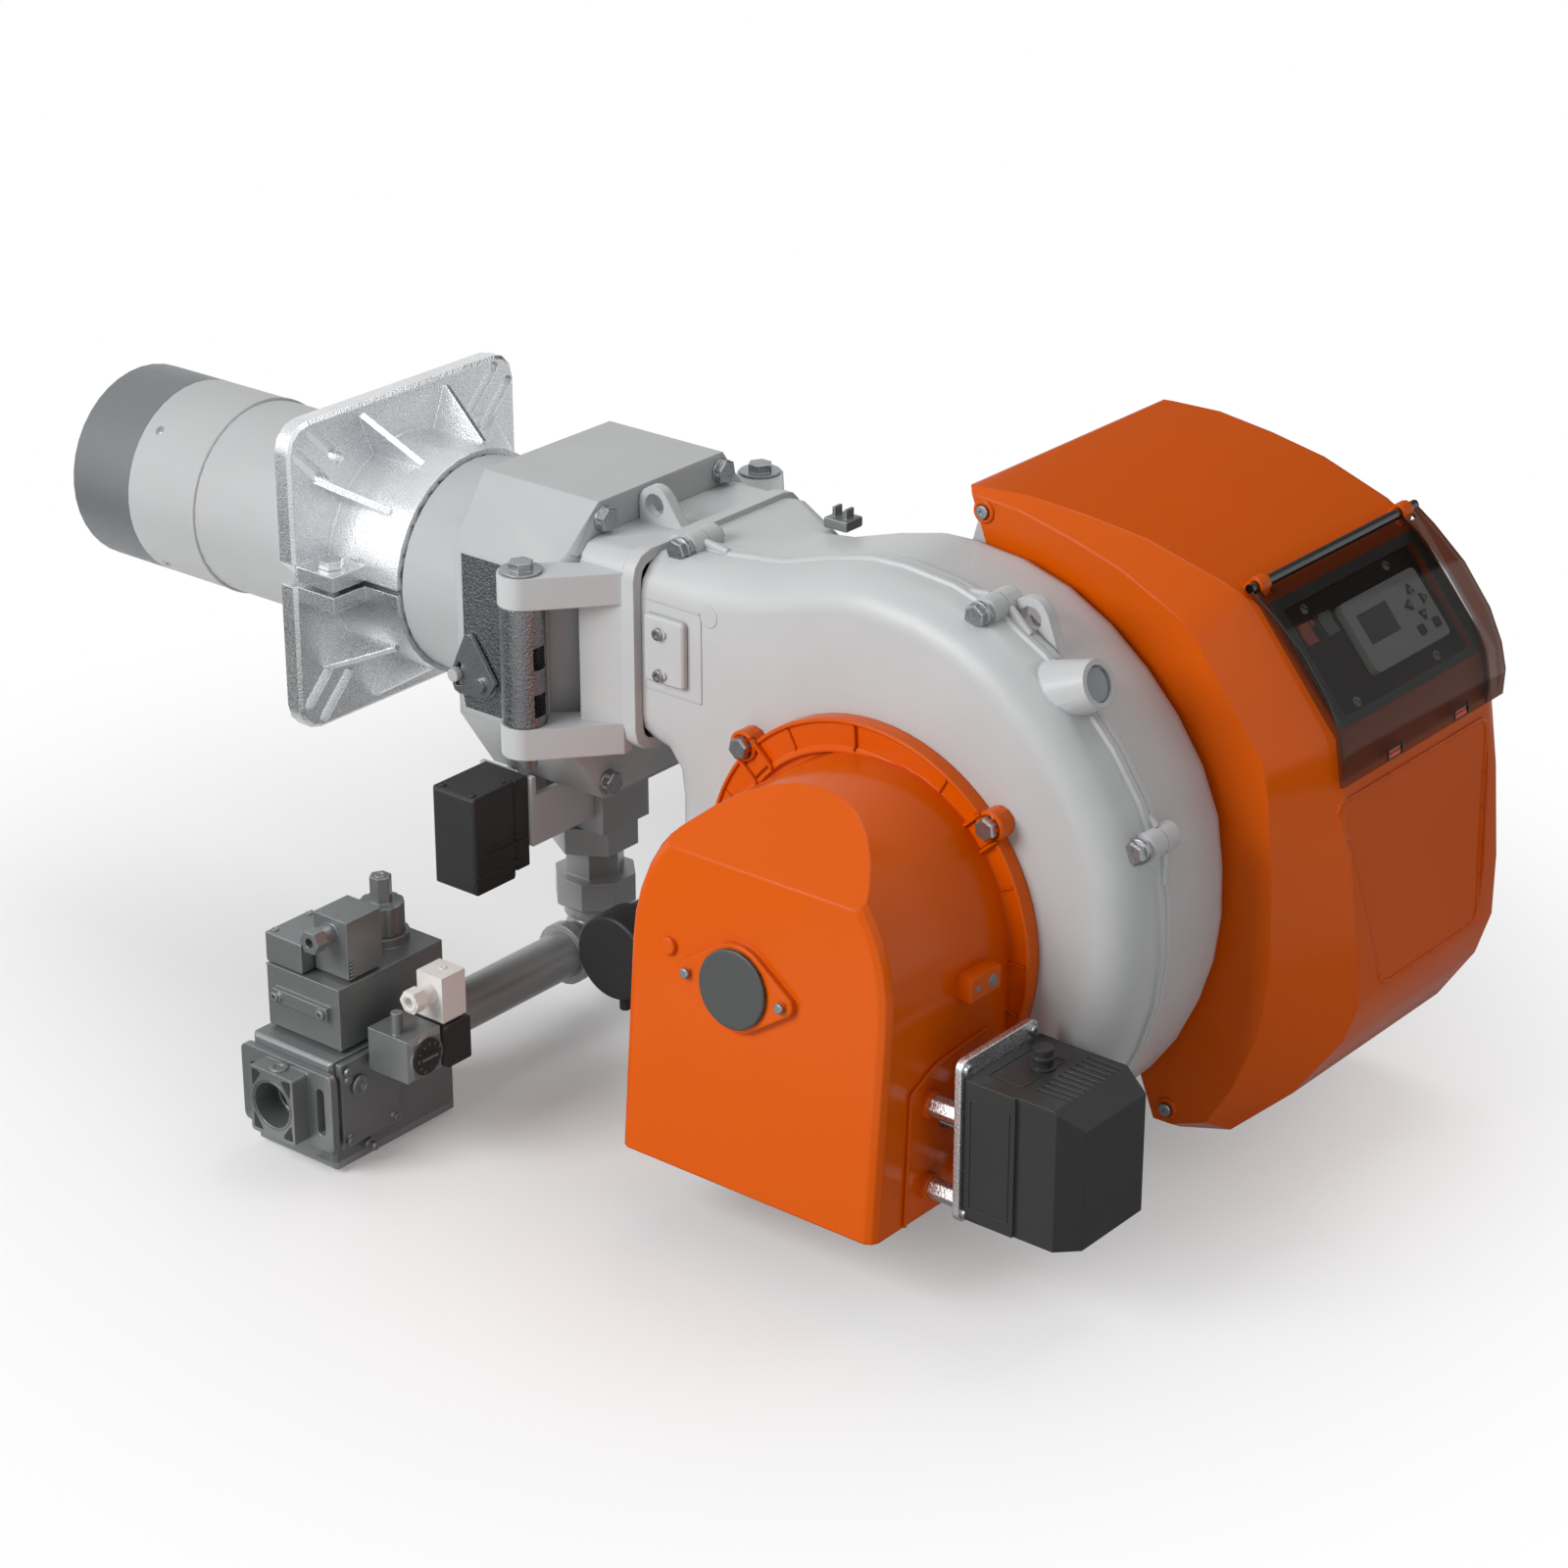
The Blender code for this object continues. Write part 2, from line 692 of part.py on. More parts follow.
LOOKS = {
    "cast_bright": ((0.62, 0.63, 0.65), 1.0, 0.35),
    "housing_grey": ((0.52, 0.53, 0.54), 0.1, 0.45),
    "orange": ((0.78, 0.12, 0.01), 0.0, 0.3),
    "gas_grey": ((0.12, 0.12, 0.125), 0.6, 0.4),
    "servo_black": ((0.035, 0.035, 0.035), 0.0, 0.5),
    "plug_white": ((0.7, 0.68, 0.64), 0.0, 0.5),
    "tip_steel": ((0.22, 0.23, 0.24), 1.0, 0.4),
    "tube_grey": ((0.5, 0.51, 0.52), 0.1, 0.45),
    "zinc": ((0.55, 0.55, 0.56), 1.0, 0.3),
    "panel_black": ((0.02, 0.02, 0.02), 0.0, 0.4),
    "display_grey": ((0.2, 0.21, 0.2), 0.0, 0.5),
    "key_dark": ((0.04, 0.04, 0.04), 0.0, 0.5),
    "lens": ((0.6, 0.65, 0.68), 0.0, 0.05),
    "smoked": ((0.08, 0.07, 0.065), 0.0, 0.08),
    "disc_grey": ((0.2, 0.2, 0.21), 0.2, 0.4),
    "ceramic": ((0.85, 0.84, 0.8), 0.0, 0.3),
}
looks = {}
for title, (colour, metallic, roughness) in LOOKS.items():
    look = bpy.data.materials.new(title)
    look.use_nodes = True
    shader = look.node_tree.nodes["Principled BSDF"]
    shader.inputs["Base Color"].default_value = (*colour, 1.0)
    shader.inputs["Metallic"].default_value = metallic
    shader.inputs["Roughness"].default_value = roughness
    looks[title] = look

# Flange halves: plate, collar, gussets and clamp lugs, cut at the split
half_side = FLANGE_SIDE / 2
flange = round_box("X", both(half_side), both(half_side), (0.0, FLANGE_THICK), FLANGE_CORNER, FLANGE_EDGE)
joined(flange, rod("X", (0, 0), COLLAR_RADIUS, (LAP, COLLAR_END), 32))
for angle in GUSSET_ANGLES + tuple(-a for a in GUSSET_ANGLES):
    rim = TUBE_RADIUS + LAP
    web = [(FLANGE_THICK - LAP, rim), (FLANGE_THICK - LAP, COLLAR_RADIUS + GUSSET_REACH), (FLANGE_THICK + LAP, COLLAR_RADIUS + GUSSET_REACH)]
    web += [(FLANGE_THICK + GUSSET_LENGTH, COLLAR_RADIUS + LAP), (FLANGE_THICK + GUSSET_LENGTH, rim)]
    fin = prism("Y", web, both(GUSSET_THICK / 2))
    joined(flange, turned_by(fin, math.radians(angle - 90), "X"))
for side in (-1, 1):
    lug_y = sorted((side * (COLLAR_RADIUS - LAP * 2), side * LUG_OUT))
    joined(flange, box(LUG_X, lug_y, both(LUG_HEIGHT)))
cut(flange, rod("X", (0, 0), TUBE_RADIUS + PLAY, (-PAST, COLLAR_END + PAST), 40))
for quarter in range(4):
    angle = math.radians(45 + 90 * quarter)
    for side in (-1, 1):
        ends = []
        for reach in (SLOT_START, SLOT_END):
            centre = (reach * math.cos(angle) - side * SLOT_SPREAD * math.sin(angle), reach * math.sin(angle) + side * SLOT_SPREAD * math.cos(angle))
            ends += circle(centre, SLOT_WIDTH / 2, 8)
        cut(flange, prism("X", around(*ends), (-PAST, FLANGE_THICK + PAST)))
past_side = both(half_side + PAST)
lower_flange = copy_of(flange)
cut(flange, box((-PAST, COLLAR_END + PAST), past_side, (-half_side - PAST, SPLIT_WIDTH / 2)))
cut(lower_flange, box((-PAST, COLLAR_END + PAST), past_side, (-SPLIT_WIDTH / 2, half_side + PAST)))
corner = [(-half_side - PAST, -PAST), (-half_side - PAST, PLATE_CUT + SPLIT_WIDTH), (-half_side + PLATE_CUT + SPLIT_WIDTH, -PAST)]
cut(flange, prism("X", corner, (-PAST, LUG_X[0] + LAP / 2)))
lug_bolt_x = (LUG_X[0] + LUG_X[1]) / 2 + PAST
for side in (-1, 1):
    bolt_at = (lug_bolt_x, side * LUG_BOLT_OUT)
    cut(flange, rod("Z", bolt_at, LUG_BOLT_RADIUS + BOLT_PLAY, (-LUG_HEIGHT, LUG_HEIGHT + PAST), 10))
    head_z = (LUG_HEIGHT + PLAY, LUG_HEIGHT + PLAY + HEX_HEIGHT)
    bolt = joined(
        rod("Z", bolt_at, LUG_BOLT_RADIUS, (-LUG_HEIGHT - HEX_HEIGHT, head_z[0] + LAP), 10),
        prism("Z", hexagon(bolt_at, LUG_HEX), head_z),
        prism("Z", hexagon(bolt_at, LUG_HEX), (-LUG_HEIGHT - HEX_HEIGHT, -LUG_HEIGHT + LAP)),
    )
    joined(lower_flange, bolt)
node("flange_upper_half", flange, "cast_bright")
node("flange_lower_half", lower_flange, "cast_bright")

# Blast tube with its larger sleeve, and the tip on the spigot
sleeve_bore = SLEEVE_RADIUS - TUBE_WALL
spigot = sleeve_bore - PLAY
tube_profile = (
    (TIP_JOINT - SPIGOT_LENGTH, spigot), (TIP_JOINT, spigot), (TIP_JOINT, SLEEVE_RADIUS), (SLEEVE_END, SLEEVE_RADIUS),
    (SLEEVE_END, TUBE_RADIUS), (TUBE_END, TUBE_RADIUS), (TUBE_END, TUBE_RADIUS - TUBE_WALL),
    (TIP_JOINT, TUBE_RADIUS - TUBE_WALL), (TIP_JOINT, spigot - TUBE_WALL), (TIP_JOINT - SPIGOT_LENGTH, spigot - TUBE_WALL),
)
node("blast_tube", turned("X", (0, 0), tube_profile, 40, True), "tube_grey")
tip_profile = (
    (TIP_END, SLEEVE_RADIUS), (TIP_JOINT - PLAY, SLEEVE_RADIUS), (TIP_JOINT - PLAY, sleeve_bore),
    (TIP_END + MOUTH_DEPTH, sleeve_bore), (TIP_END, MOUTH_RADIUS),
)
node("tube_tip", turned("X", (0, 0), tip_profile, 40, True), "tip_steel")

# Gas gun: tube with radial ports, flame disc with open slots, guide pin
gun = rod("X", (0, 0), GUN_RADIUS, GUN_X, 16)
disc = []
for i in range(DISC_SLOTS):
    pitch = 2 * math.pi / DISC_SLOTS
    start = i * pitch
    for share, radius in ((0.0, DISC_RADIUS), (0.5 - DISC_SLOT_SHARE / 2, DISC_RADIUS), (1.0 - DISC_SLOT_SHARE, DISC_RADIUS), (1.0 - DISC_SLOT_SHARE, DISC_SLOT_INNER), (1.0, DISC_SLOT_INNER)):
        angle = start + share * pitch
        disc.append((radius * math.cos(angle), radius * math.sin(angle)))
joined(gun, prism("X", disc, DISC_X))
joined(gun, rod("Y", (LEVER_X, 0), PIN_RADIUS, (-PIN_REACH, -GUN_RADIUS + GUN_WALL * 0.7), 10))
cut(gun, rod("X", (0, 0), GUN_RADIUS - GUN_WALL, (GUN_X[0] + GUN_WALL, GUN_X[1] - GUN_WALL), 16))
for at in ELECTRODE_OFFSETS:
    cut(gun, rod("X", at, ELECTRODE_WIRE + PLAY, grown(DISC_X, PAST), 8))
port_x = (GUN_X[0] + DISC_X[0]) / 2 + PORT_RADIUS / 3
for k in range(4):
    port = rod("Z", (port_x, 0), PORT_RADIUS, both(GUN_RADIUS + PAST), 8)
    cut(gun, turned_by(port, k * math.pi / 4 + math.pi / 8, "X"))
cut(gun, round_box("Z", FEED_X, both(GUN_RADIUS * 0.6), (-GUN_RADIUS - PAST, 0.0), GUN_RADIUS * 0.5))
node("gas_gun", gun, "tip_steel", (LEVER_X, 0, 0))

# Ignition and ionisation electrodes, clamped to the gas gun
holders = [p for at in ELECTRODE_OFFSETS for p in circle(at, ELECTRODE_RADIUS + LAP, 8)]
clip = prism("X", around(*circle((0, 0), GUN_RADIUS + GUN_WALL, 16), *holders), ELECTRODE_CLIP_X)
cut(clip, rod("X", (0, 0), GUN_RADIUS + PLAY, grown(ELECTRODE_CLIP_X, PAST), 22))
for y, z in ELECTRODE_OFFSETS:
    body = rod("X", (y, z), ELECTRODE_RADIUS, (DISC_X[1] + 2 * PAST, ELECTRODE_X[1]), 10)
    joined(clip, body, rod("X", (y, z), ELECTRODE_WIRE, (ELECTRODE_X[0], ELECTRODE_X[1] + PAST), 8))
node("electrodes", clip, "ceramic", (LEVER_X, 0, 0))


def head_section(inset, half=BOX_HALF):
    side = half - inset
    outline = [
        (-BOX_TOP_HALF + inset * 0.6, BOX_TOP - inset), (BOX_TOP_HALF - inset * 0.6, BOX_TOP - inset), (side, BOX_SIDE_TOP - inset * 0.5),
        (side, BOX_SIDE_BOTTOM + inset * 0.5), (BOX_TOP_HALF - inset * 0.6, BOX_BOTTOM + inset), (-BOX_TOP_HALF + inset * 0.6, BOX_BOTTOM + inset),
        (-side, BOX_SIDE_BOTTOM + inset * 0.5), (-side, BOX_SIDE_TOP - inset * 0.5),
    ]
    return outline


def across_x(outline, x):
    return [(x, p, q) for p, q in outline]


# Head casting: neck, eight-sided box, hinge barrels, gas riser and gun sleeve
head = loft([
    across_x(head_section(BOX_SHOULDER), BOX_X[0]), across_x(head_section(0.0), BOX_X[0] + BOX_SHOULDER), across_x(head_section(0.0), BOX_X[1]),
])
joined(head, rod("X", (0, 0), NECK_RADIUS, (NECK_START, BOX_X[0] + BOX_SHOULDER), 40))
joined(head, box(PAD_X, both(PAD_HALF), (PAD_BOTTOM, BOX_BOTTOM + HEAD_WALL / 2)))
for side in (-1, 1):
    pin_at = (HINGE_X, side * HINGE_Y)
    foot_y = side * (BOX_HALF - HEAD_WALL / 2)
    web = around(*circle(pin_at, BARREL_RADIUS, 16), (BOX_X[1] - 0.054, foot_y), (HEAD_RELIEF[0][0] - PLAY, foot_y))
    barrel = joined(rod("Z", pin_at, BARREL_RADIUS, BARREL_Z, 16), prism("Z", web, (BARREL_Z[0] + LAP, BARREL_Z[1] - LAP)))
    joined(head, barrel)
cut(head, loft([
    across_x(head_section(HEAD_WALL), BOX_X[0] + BOX_SHOULDER),
    across_x(head_section(HEAD_WALL), HEAD_RELIEF[0][0] - HEAD_WALL),
    across_x(head_section(HEAD_WALL, MOUTH_HALF + HEAD_WALL), BOX_X[1] - HEAD_WALL),
]))
mouth = round_rect(both(MOUTH_HALF), (NECK_BOTTOM + HEAD_WALL, NECK_TOP - HEAD_WALL), NECK_CORNER)
cut(head, prism("X", mouth, (BOX_X[1] - HEAD_WALL - PAST, BOX_X[1] + PAST)))
cut(head, rod("X", (0, 0), TUBE_RADIUS - TUBE_WALL, (NECK_START - PAST, BOX_X[0] + BOX_SHOULDER + PAST), 40))
cut(head, rod("X", (0, 0), TUBE_RADIUS + PLAY, (NECK_START - PAST, TUBE_END + PLAY), 40))
for side in (-1, 1):
    relief = [(x, side * y) for x, y in HEAD_RELIEF]
    cut(head, prism("Z", relief, RELIEF_Z))
    cut(head, rod("Z", (HINGE_X, side * HINGE_Y), HINGE_PIN + PLAY, (BARREL_Z[0] - PAST, BARREL_Z[1] + PAST), 16))
    for window in WINDOWS_Z:
        window_y = (side * HINGE_Y - WINDOW_HALF, side * HINGE_Y + WINDOW_HALF)
        cut(head, box((HINGE_X + HINGE_PIN / 2, HINGE_X + BARREL_RADIUS + PAST), window_y, window))
guide = joined(
    rod("X", (0, 0), SLEEVE_OUTER, GUN_SLEEVE_X, 22),
    rod("Z", (RISER_X, 0), RISER_RADIUS, (BOX_BOTTOM + HEAD_WALL / 2, 0.0), 22),
)
joined(head, guide)
cut(head, rod("X", (0, 0), GUN_RADIUS + PLAY, (GUN_SLEEVE_X[0] - PAST, GUN_SLEEVE_X[1] + PAST), 22))
cut(head, rod("Z", (RISER_X, 0), GAS_BORE, (PAD_BOTTOM - PAST, -GUN_RADIUS + LAP), 22))
slot_x = (LEVER_X - PIN_SLOT_HALF, LEVER_X + PIN_SLOT_HALF)
cut(head, box(slot_x, (-SLEEVE_OUTER - PAST, -GUN_RADIUS + LAP), both(PIN_RADIUS + PLAY * 2)))
joined(head, rod("Y", (CLAMP_X, CLAMP_Z), CLAMP_SHANK, (-BOX_HALF - PLAY * 3 - LEVER_PLATE - LAP, -BOX_HALF + LAP), 8))
clamp_y = (-BOX_HALF - PLAY * 4 - LEVER_PLATE - CLAMP_HEAD, -BOX_HALF - PLAY * 4 - LEVER_PLATE)
joined(head, rod("Y", (CLAMP_X, CLAMP_Z), CLAMP_HEAD, clamp_y, 10))
cut(head, rod("Y", (LEVER_X, LEVER_Z), LEVER_SHAFT + PLAY, (-BOX_HALF - PAST, -BOX_HALF + HEAD_WALL + PAST), 16))
for y in both(CASTING_BOLT_Y):
    for z in CASTING_BOLT_Z:
        joined(head, prism("X", hexagon((y, z), CASTING_HEX), (BOX_X[1] - LAP, BOX_X[1] + HEX_HEIGHT)))
node("head_casting", head, "housing_grey")

# Lever: outside plate with a clamp slot, shaft through the wall, crank with a fork inside
plate_y = (-BOX_HALF - PLAY * 2 - LEVER_PLATE, -BOX_HALF - PLAY * 2)
clamp_arm = math.hypot(CLAMP_X - LEVER_X, CLAMP_Z - LEVER_Z)
clamp_angle = math.atan2(CLAMP_Z - LEVER_Z, CLAMP_X - LEVER_X)
left_lobe = []
for step in (-LEVER_SWEEP, 0, LEVER_SWEEP):
    angle = clamp_angle + step
    centre = (LEVER_X + clamp_arm * math.cos(angle), LEVER_Z + clamp_arm * math.sin(angle))
    left_lobe += circle(centre, LEVER_SLOT_WIDTH, 8)
plate_outline = around(*circle((LEVER_X, LEVER_Z), LEVER_SHAFT * 2, 12), *circle(LEVER_APEX, LEVER_SHAFT, 8), *left_lobe, LEVER_CORNER)
lever = joined(prism("Y", plate_outline, plate_y), rod("Y", (LEVER_X, LEVER_Z), LEVER_SHAFT, (plate_y[0] - 2 * LAP, CRANK_Y[1]), 16))
arc = []
for radius, steps in ((clamp_arm + LEVER_SLOT_WIDTH / 2, range(9)), (clamp_arm - LEVER_SLOT_WIDTH / 2, range(8, -1, -1))):
    for i in steps:
        angle = clamp_angle + LEVER_SWEEP * (i / 4 - 1)
        arc.append((LEVER_X + radius * math.cos(angle), LEVER_Z + radius * math.sin(angle)))
cut(lever, prism("Y", arc, (plate_y[0] - PAST, plate_y[1] + PAST)))
crank = prism("Y", around(*circle((LEVER_X, LEVER_Z), CRANK_HALF, 12), *circle((LEVER_X, CRANK_TOP - CRANK_HALF), CRANK_HALF, 12)), CRANK_Y)
fork_x = (LEVER_X - PIN_RADIUS - PLAY * 2, LEVER_X + PIN_RADIUS + PLAY * 2)
cut(crank, round_box("Y", fork_x, (-PIN_RADIUS * 2, CRANK_TOP + PAST), (CRANK_Y[0] - PAST, CRANK_Y[1] + PAST), PIN_RADIUS))
joined(lever, crank)
node("adjust_lever", lever, "zinc", (LEVER_X, -BOX_HALF, LEVER_Z))

# Gas throttle: block with a butterfly on a shaft along Y, bracket and servo
block_z = (BLOCK_BOTTOM, PAD_BOTTOM - PLAY)
block = box(BLOCK_X, both(BLOCK_HALF), block_z)
cut(block, rod("Z", (RISER_X, 0), GAS_BORE, (block_z[0] - PAST, block_z[1] + PAST), 22))
cut(block, rod("Y", (RISER_X, THROTTLE_Z), THROTTLE_SHAFT + PLAY, (-BLOCK_HALF - PAST, BLOCK_HALF - PAST), 10))
node("gas_throttle", block, "housing_grey")
shaft_end = GAS_SERVO_Y[1] - 2 * LAP
butterfly = rod("Y", (RISER_X, THROTTLE_Z), THROTTLE_SHAFT, (shaft_end, BLOCK_HALF - 2 * PAST), 10)
joined(butterfly, rod("Z", (RISER_X, 0), GAS_BORE - PLAY, (THROTTLE_Z - BUTTERFLY_THICK / 2, THROTTLE_Z + BUTTERFLY_THICK / 2), 22))
node("gas_butterfly", butterfly, "zinc", (RISER_X, 0, THROTTLE_Z))
bracket = box(BRACKET_X, (BRACKET_Y, BRACKET_Y + BRACKET_PLATE), BRACKET_Z)
for x in (BRACKET_X[0], BRACKET_X[1] - BRACKET_PLATE):
    joined(bracket, box((x, x + BRACKET_PLATE), (BRACKET_Y + LAP, -BLOCK_HALF - PLAY), (BRACKET_Z[0], PAD_BOTTOM)))
cut(bracket, rod("Y", (RISER_X, THROTTLE_Z), THROTTLE_SHAFT + BOLT_PLAY, (BRACKET_Y - PAST, BRACKET_Y + BRACKET_PLATE + PAST), 10))
node("throttle_bracket", bracket, "housing_grey")
servo = box(GAS_SERVO_X, (GAS_SERVO_Y[0], BRACKET_Y - PLAY), GAS_SERVO_Z, BUTTERFLY_THICK, "Y")
step_z = (GAS_SERVO_Z[0] - PAST, GAS_SERVO_Z[0] + GAS_SERVO_STEP)
cut(servo, box((GAS_SERVO_X[0] - PAST, GAS_SERVO_X[1] + PAST), (GAS_SERVO_Y[1], BRACKET_Y + PAST), step_z))
cut(servo, box((GAS_SERVO_X[1] - LAP, GAS_SERVO_X[1] + PAST), (GAS_SERVO_Y[1] - PAST, GAS_SERVO_Y[1]), (GAS_SERVO_Z[0] - PAST, GAS_SERVO_Z[1] + PAST)))
cut(servo, rod("Y", (RISER_X, THROTTLE_Z), THROTTLE_SHAFT + PLAY, (shaft_end - PLAY, BRACKET_Y + PAST), 10))
node("throttle_servo", servo, "servo_black")

# Union: hex collar, hexagon end and eight-sided nut around one bore
pipe_at = (RISER_X, 0)
union = prism("Z", hexagon(pipe_at, COLLAR_HEX, math.radians(30)), (COLLAR_Z, BLOCK_BOTTOM - PLAY))
joined(union, prism("Z", hexagon(pipe_at, UNION_HEX), (UNION_Z, COLLAR_Z + LAP)))
joined(union, prism("Z", circle(pipe_at, NUT_RADIUS, 8, math.pi / 8), (NUT_BOTTOM, UNION_Z + LAP), BUTTERFLY_THICK))
cut(union, rod("Z", pipe_at, GAS_BORE, (NUT_BOTTOM - PAST, BLOCK_BOTTOM + PAST), 22))
node("gas_union", union, "gas_grey")


def elbow_path():
    points = [((0.0, NUT_BOTTOM - PLAY), (0.0, -1.0))]
    centre = (-ELBOW_BEND, PIPE_Z + ELBOW_BEND)
    for i in range(7):
        a = math.pi / 2 * i / 6
        points.append(((centre[0] + ELBOW_BEND * math.cos(a), centre[1] - ELBOW_BEND * math.sin(a)), (-math.sin(a), -math.cos(a))))
    points.append(((ELBOW_FACE, PIPE_Z), (-1.0, 0.0)))
    return points


def elbow_skin(radius, past):
    rings = []
    path = elbow_path()
    for i, ((y, z), (dy, dz)) in enumerate(path):
        extra = -past if i == 0 else past if i == len(path) - 1 else 0.0
        ring = []
        for p, q in circle((0, 0), radius, 12):
            ring.append((RISER_X + p, y + dy * extra - dz * q, z + dz * extra + dy * q))
        rings.append(ring)
    return loft(rings)


elbow = elbow_skin(ELBOW_RADIUS, 0.0)
joined(elbow, rod("Z", pipe_at, ELBOW_BEAD, (NUT_BOTTOM - PLAY - ELBOW_BEAD_LENGTH, NUT_BOTTOM - PLAY), 22))
joined(elbow, rod("Y", (RISER_X, PIPE_Z), ELBOW_BEAD, (ELBOW_FACE, ELBOW_FACE + ELBOW_BEAD_LENGTH), 22))
cut(elbow, elbow_skin(GAS_BORE, PAST))
node("gas_elbow", elbow, "gas_grey")
node("gas_pipe", tube("Y", (RISER_X, PIPE_Z), PIPE_RADIUS, GAS_BORE, (PIPE_END, ELBOW_FACE - PLAY)), "gas_grey")

# Gas valve body, its upper part with the regulator foot, and their small pieces
valve = box(VALVE_X, VALVE_Y, VALVE_Z, VALVE_EDGE, "Y")
cut(valve, rod("Y", (RISER_X, PIPE_Z), GAS_BORE, (VALVE_Y[0] - PAST, VALVE_Y[1] + PAST), 22))
node("valve_body", valve, "gas_grey")
upper_z = (VALVE_Z[1] + PLAY, HEAD_TOP)
upper = box(HEAD_X, HEAD_Y, upper_z, VALVE_EDGE)
joined(upper, rod("Z", (RISER_X, REGULATOR_Y), REGULATOR_BASE, (HEAD_TOP - LAP, REGULATOR_BASE_TOP), 22))
joined(upper, box(BAR_X, (HEAD_Y[0] - BAR_THICK, HEAD_Y[0] + LAP), BAR_Z))
for x in (BAR_X[0] + BAR_THICK * 1.5, BAR_X[1] - BAR_THICK * 1.5):
    screw_y = (HEAD_Y[0] - BAR_THICK - LAP, HEAD_Y[0] - BAR_THICK + LAP)
    joined(upper, rod("Y", (x, sum(BAR_Z) / 2), BAR_THICK * 0.8, screw_y, 8))
cut(upper, rod("Z", (RISER_X, REGULATOR_Y), REGULATOR_STEM + PLAY, (HEAD_TOP - PAST, REGULATOR_BASE_TOP + PAST), 12))
node("valve_upper", upper, "gas_grey")
knob_outline = []
for i in range(48):
    radius = REGULATOR_KNOB - (GUN_WALL / 3 if i % 4 == 3 else 0.0)
    knob_outline.append((RISER_X + radius * math.cos(math.pi * i / 24), REGULATOR_Y + radius * math.sin(math.pi * i / 24)))
knob = prism("Z", knob_outline, (REGULATOR_BASE_TOP + PLAY, REGULATOR_KNOB_TOP))
turned_by(knob, 0.0, "Z")
joined(knob, prism("Z", hexagon((RISER_X, REGULATOR_Y), REGULATOR_HEX), (REGULATOR_KNOB_TOP - LAP, REGULATOR_TOP)))
joined(knob, rod("Z", (RISER_X, REGULATOR_Y), REGULATOR_STEM, (HEAD_TOP - LAP, REGULATOR_BASE_TOP + LAP), 12))
node("regulator_cap", knob, "gas_grey", (RISER_X, REGULATOR_Y, REGULATOR_BASE_TOP))
node("valve_cap", box(CAP_X, CAP_Y, (HEAD_TOP + PLAY, CAP_TOP), LAP), "gas_grey")


def plug(x, y, z, gland_z, edge):
    body = box(x, y, z, edge)
    middle = (x[0] + x[1]) / 2
    joined(body, rod("Y", (middle, gland_z), GLAND_RADIUS, (y[0] - GLAND_LENGTH * 0.7, y[0] + LAP), 12))
    joined(body, prism("Y", hexagon((middle, gland_z), GLAND_RADIUS * 2), (y[0] - GLAND_LENGTH, y[0] - GLAND_LENGTH * 0.5)))
    return cut(body, rod("Y", (middle, gland_z), GLAND_RADIUS * 0.5, (y[0] - GLAND_LENGTH - PAST, y[0] - LAP), 10))


node("valve_plug", plug(DIN_X, DIN_Y, (HEAD_TOP + PLAY, DIN_TOP), DIN_GLAND_Z, VALVE_EDGE), "gas_grey")
side_x = (VALVE_X[1] + PLAY, VALVE_X[1] + PLAY + SIDE_PLATE_X)
side_plate = box(side_x, SIDE_PLATE_Y, SIDE_PLATE_Z)
for y in (SIDE_PLATE_Y[0] + SIDE_HEX, SIDE_PLATE_Y[1] - SIDE_HEX):
    for z in (SIDE_PLATE_Z[0] + SIDE_HEX, SIDE_PLATE_Z[1] - 2 * SIDE_HEX):
        joined(side_plate, rod("X", (y, z), SIDE_HEX / 2, (side_x[1] - LAP, side_x[1] + LAP), 8))
node("valve_side_plate", side_plate, "gas_grey")
arm_y = (VALVE_Y[0] - PLAY - FLANGE_ARM_THICK, VALVE_Y[0] - PLAY)
inlet = round_box("Y", FLANGE_ARM_X, FLANGE_ARM_Z, arm_y, VALVE_EDGE * 2)
joined(inlet, round_box("Y", PORT_BLOCK_X, PORT_BLOCK_Z, (PORT_FACE, arm_y[0] + LAP), VALVE_EDGE))
cut(inlet, rod("Y", (RISER_X, PIPE_Z), PORT_BORE, (PORT_FACE - PAST, VALVE_Y[0]), 32))
for x in EAR_SLOT_X:
    slot = around(*circle((x, EAR_SLOT_Z[0]), EAR_SLOT_RADIUS, 8), *circle((x, EAR_SLOT_Z[1]), EAR_SLOT_RADIUS, 8))
    cut(inlet, prism("Y", slot, (arm_y[0] - PAST, arm_y[1] + PAST)))
pocket_reach = PORT_BORE + VALVE_EDGE
for sx in (-1, 1):
    for sz in (-1, 1):
        wall = VALVE_EDGE
        far_x = sx * ((PORT_BLOCK_X[1] - PORT_BLOCK_X[0]) / 2 - wall)
        far_z = sz * ((PORT_BLOCK_Z[1] - PORT_BLOCK_Z[0]) / 2 - wall)
        corner = [(far_x, far_z), (far_x - sx * PORT_BORE * 0.42, far_z), (far_x, far_z - sz * PORT_BORE * 0.42)]
        cut(inlet, prism("Y", [(RISER_X + x, PIPE_Z + z) for x, z in corner], (PORT_FACE - PAST, PORT_FACE + POCKET_DEPTH)))
node("gas_inlet_flange", inlet, "gas_grey")

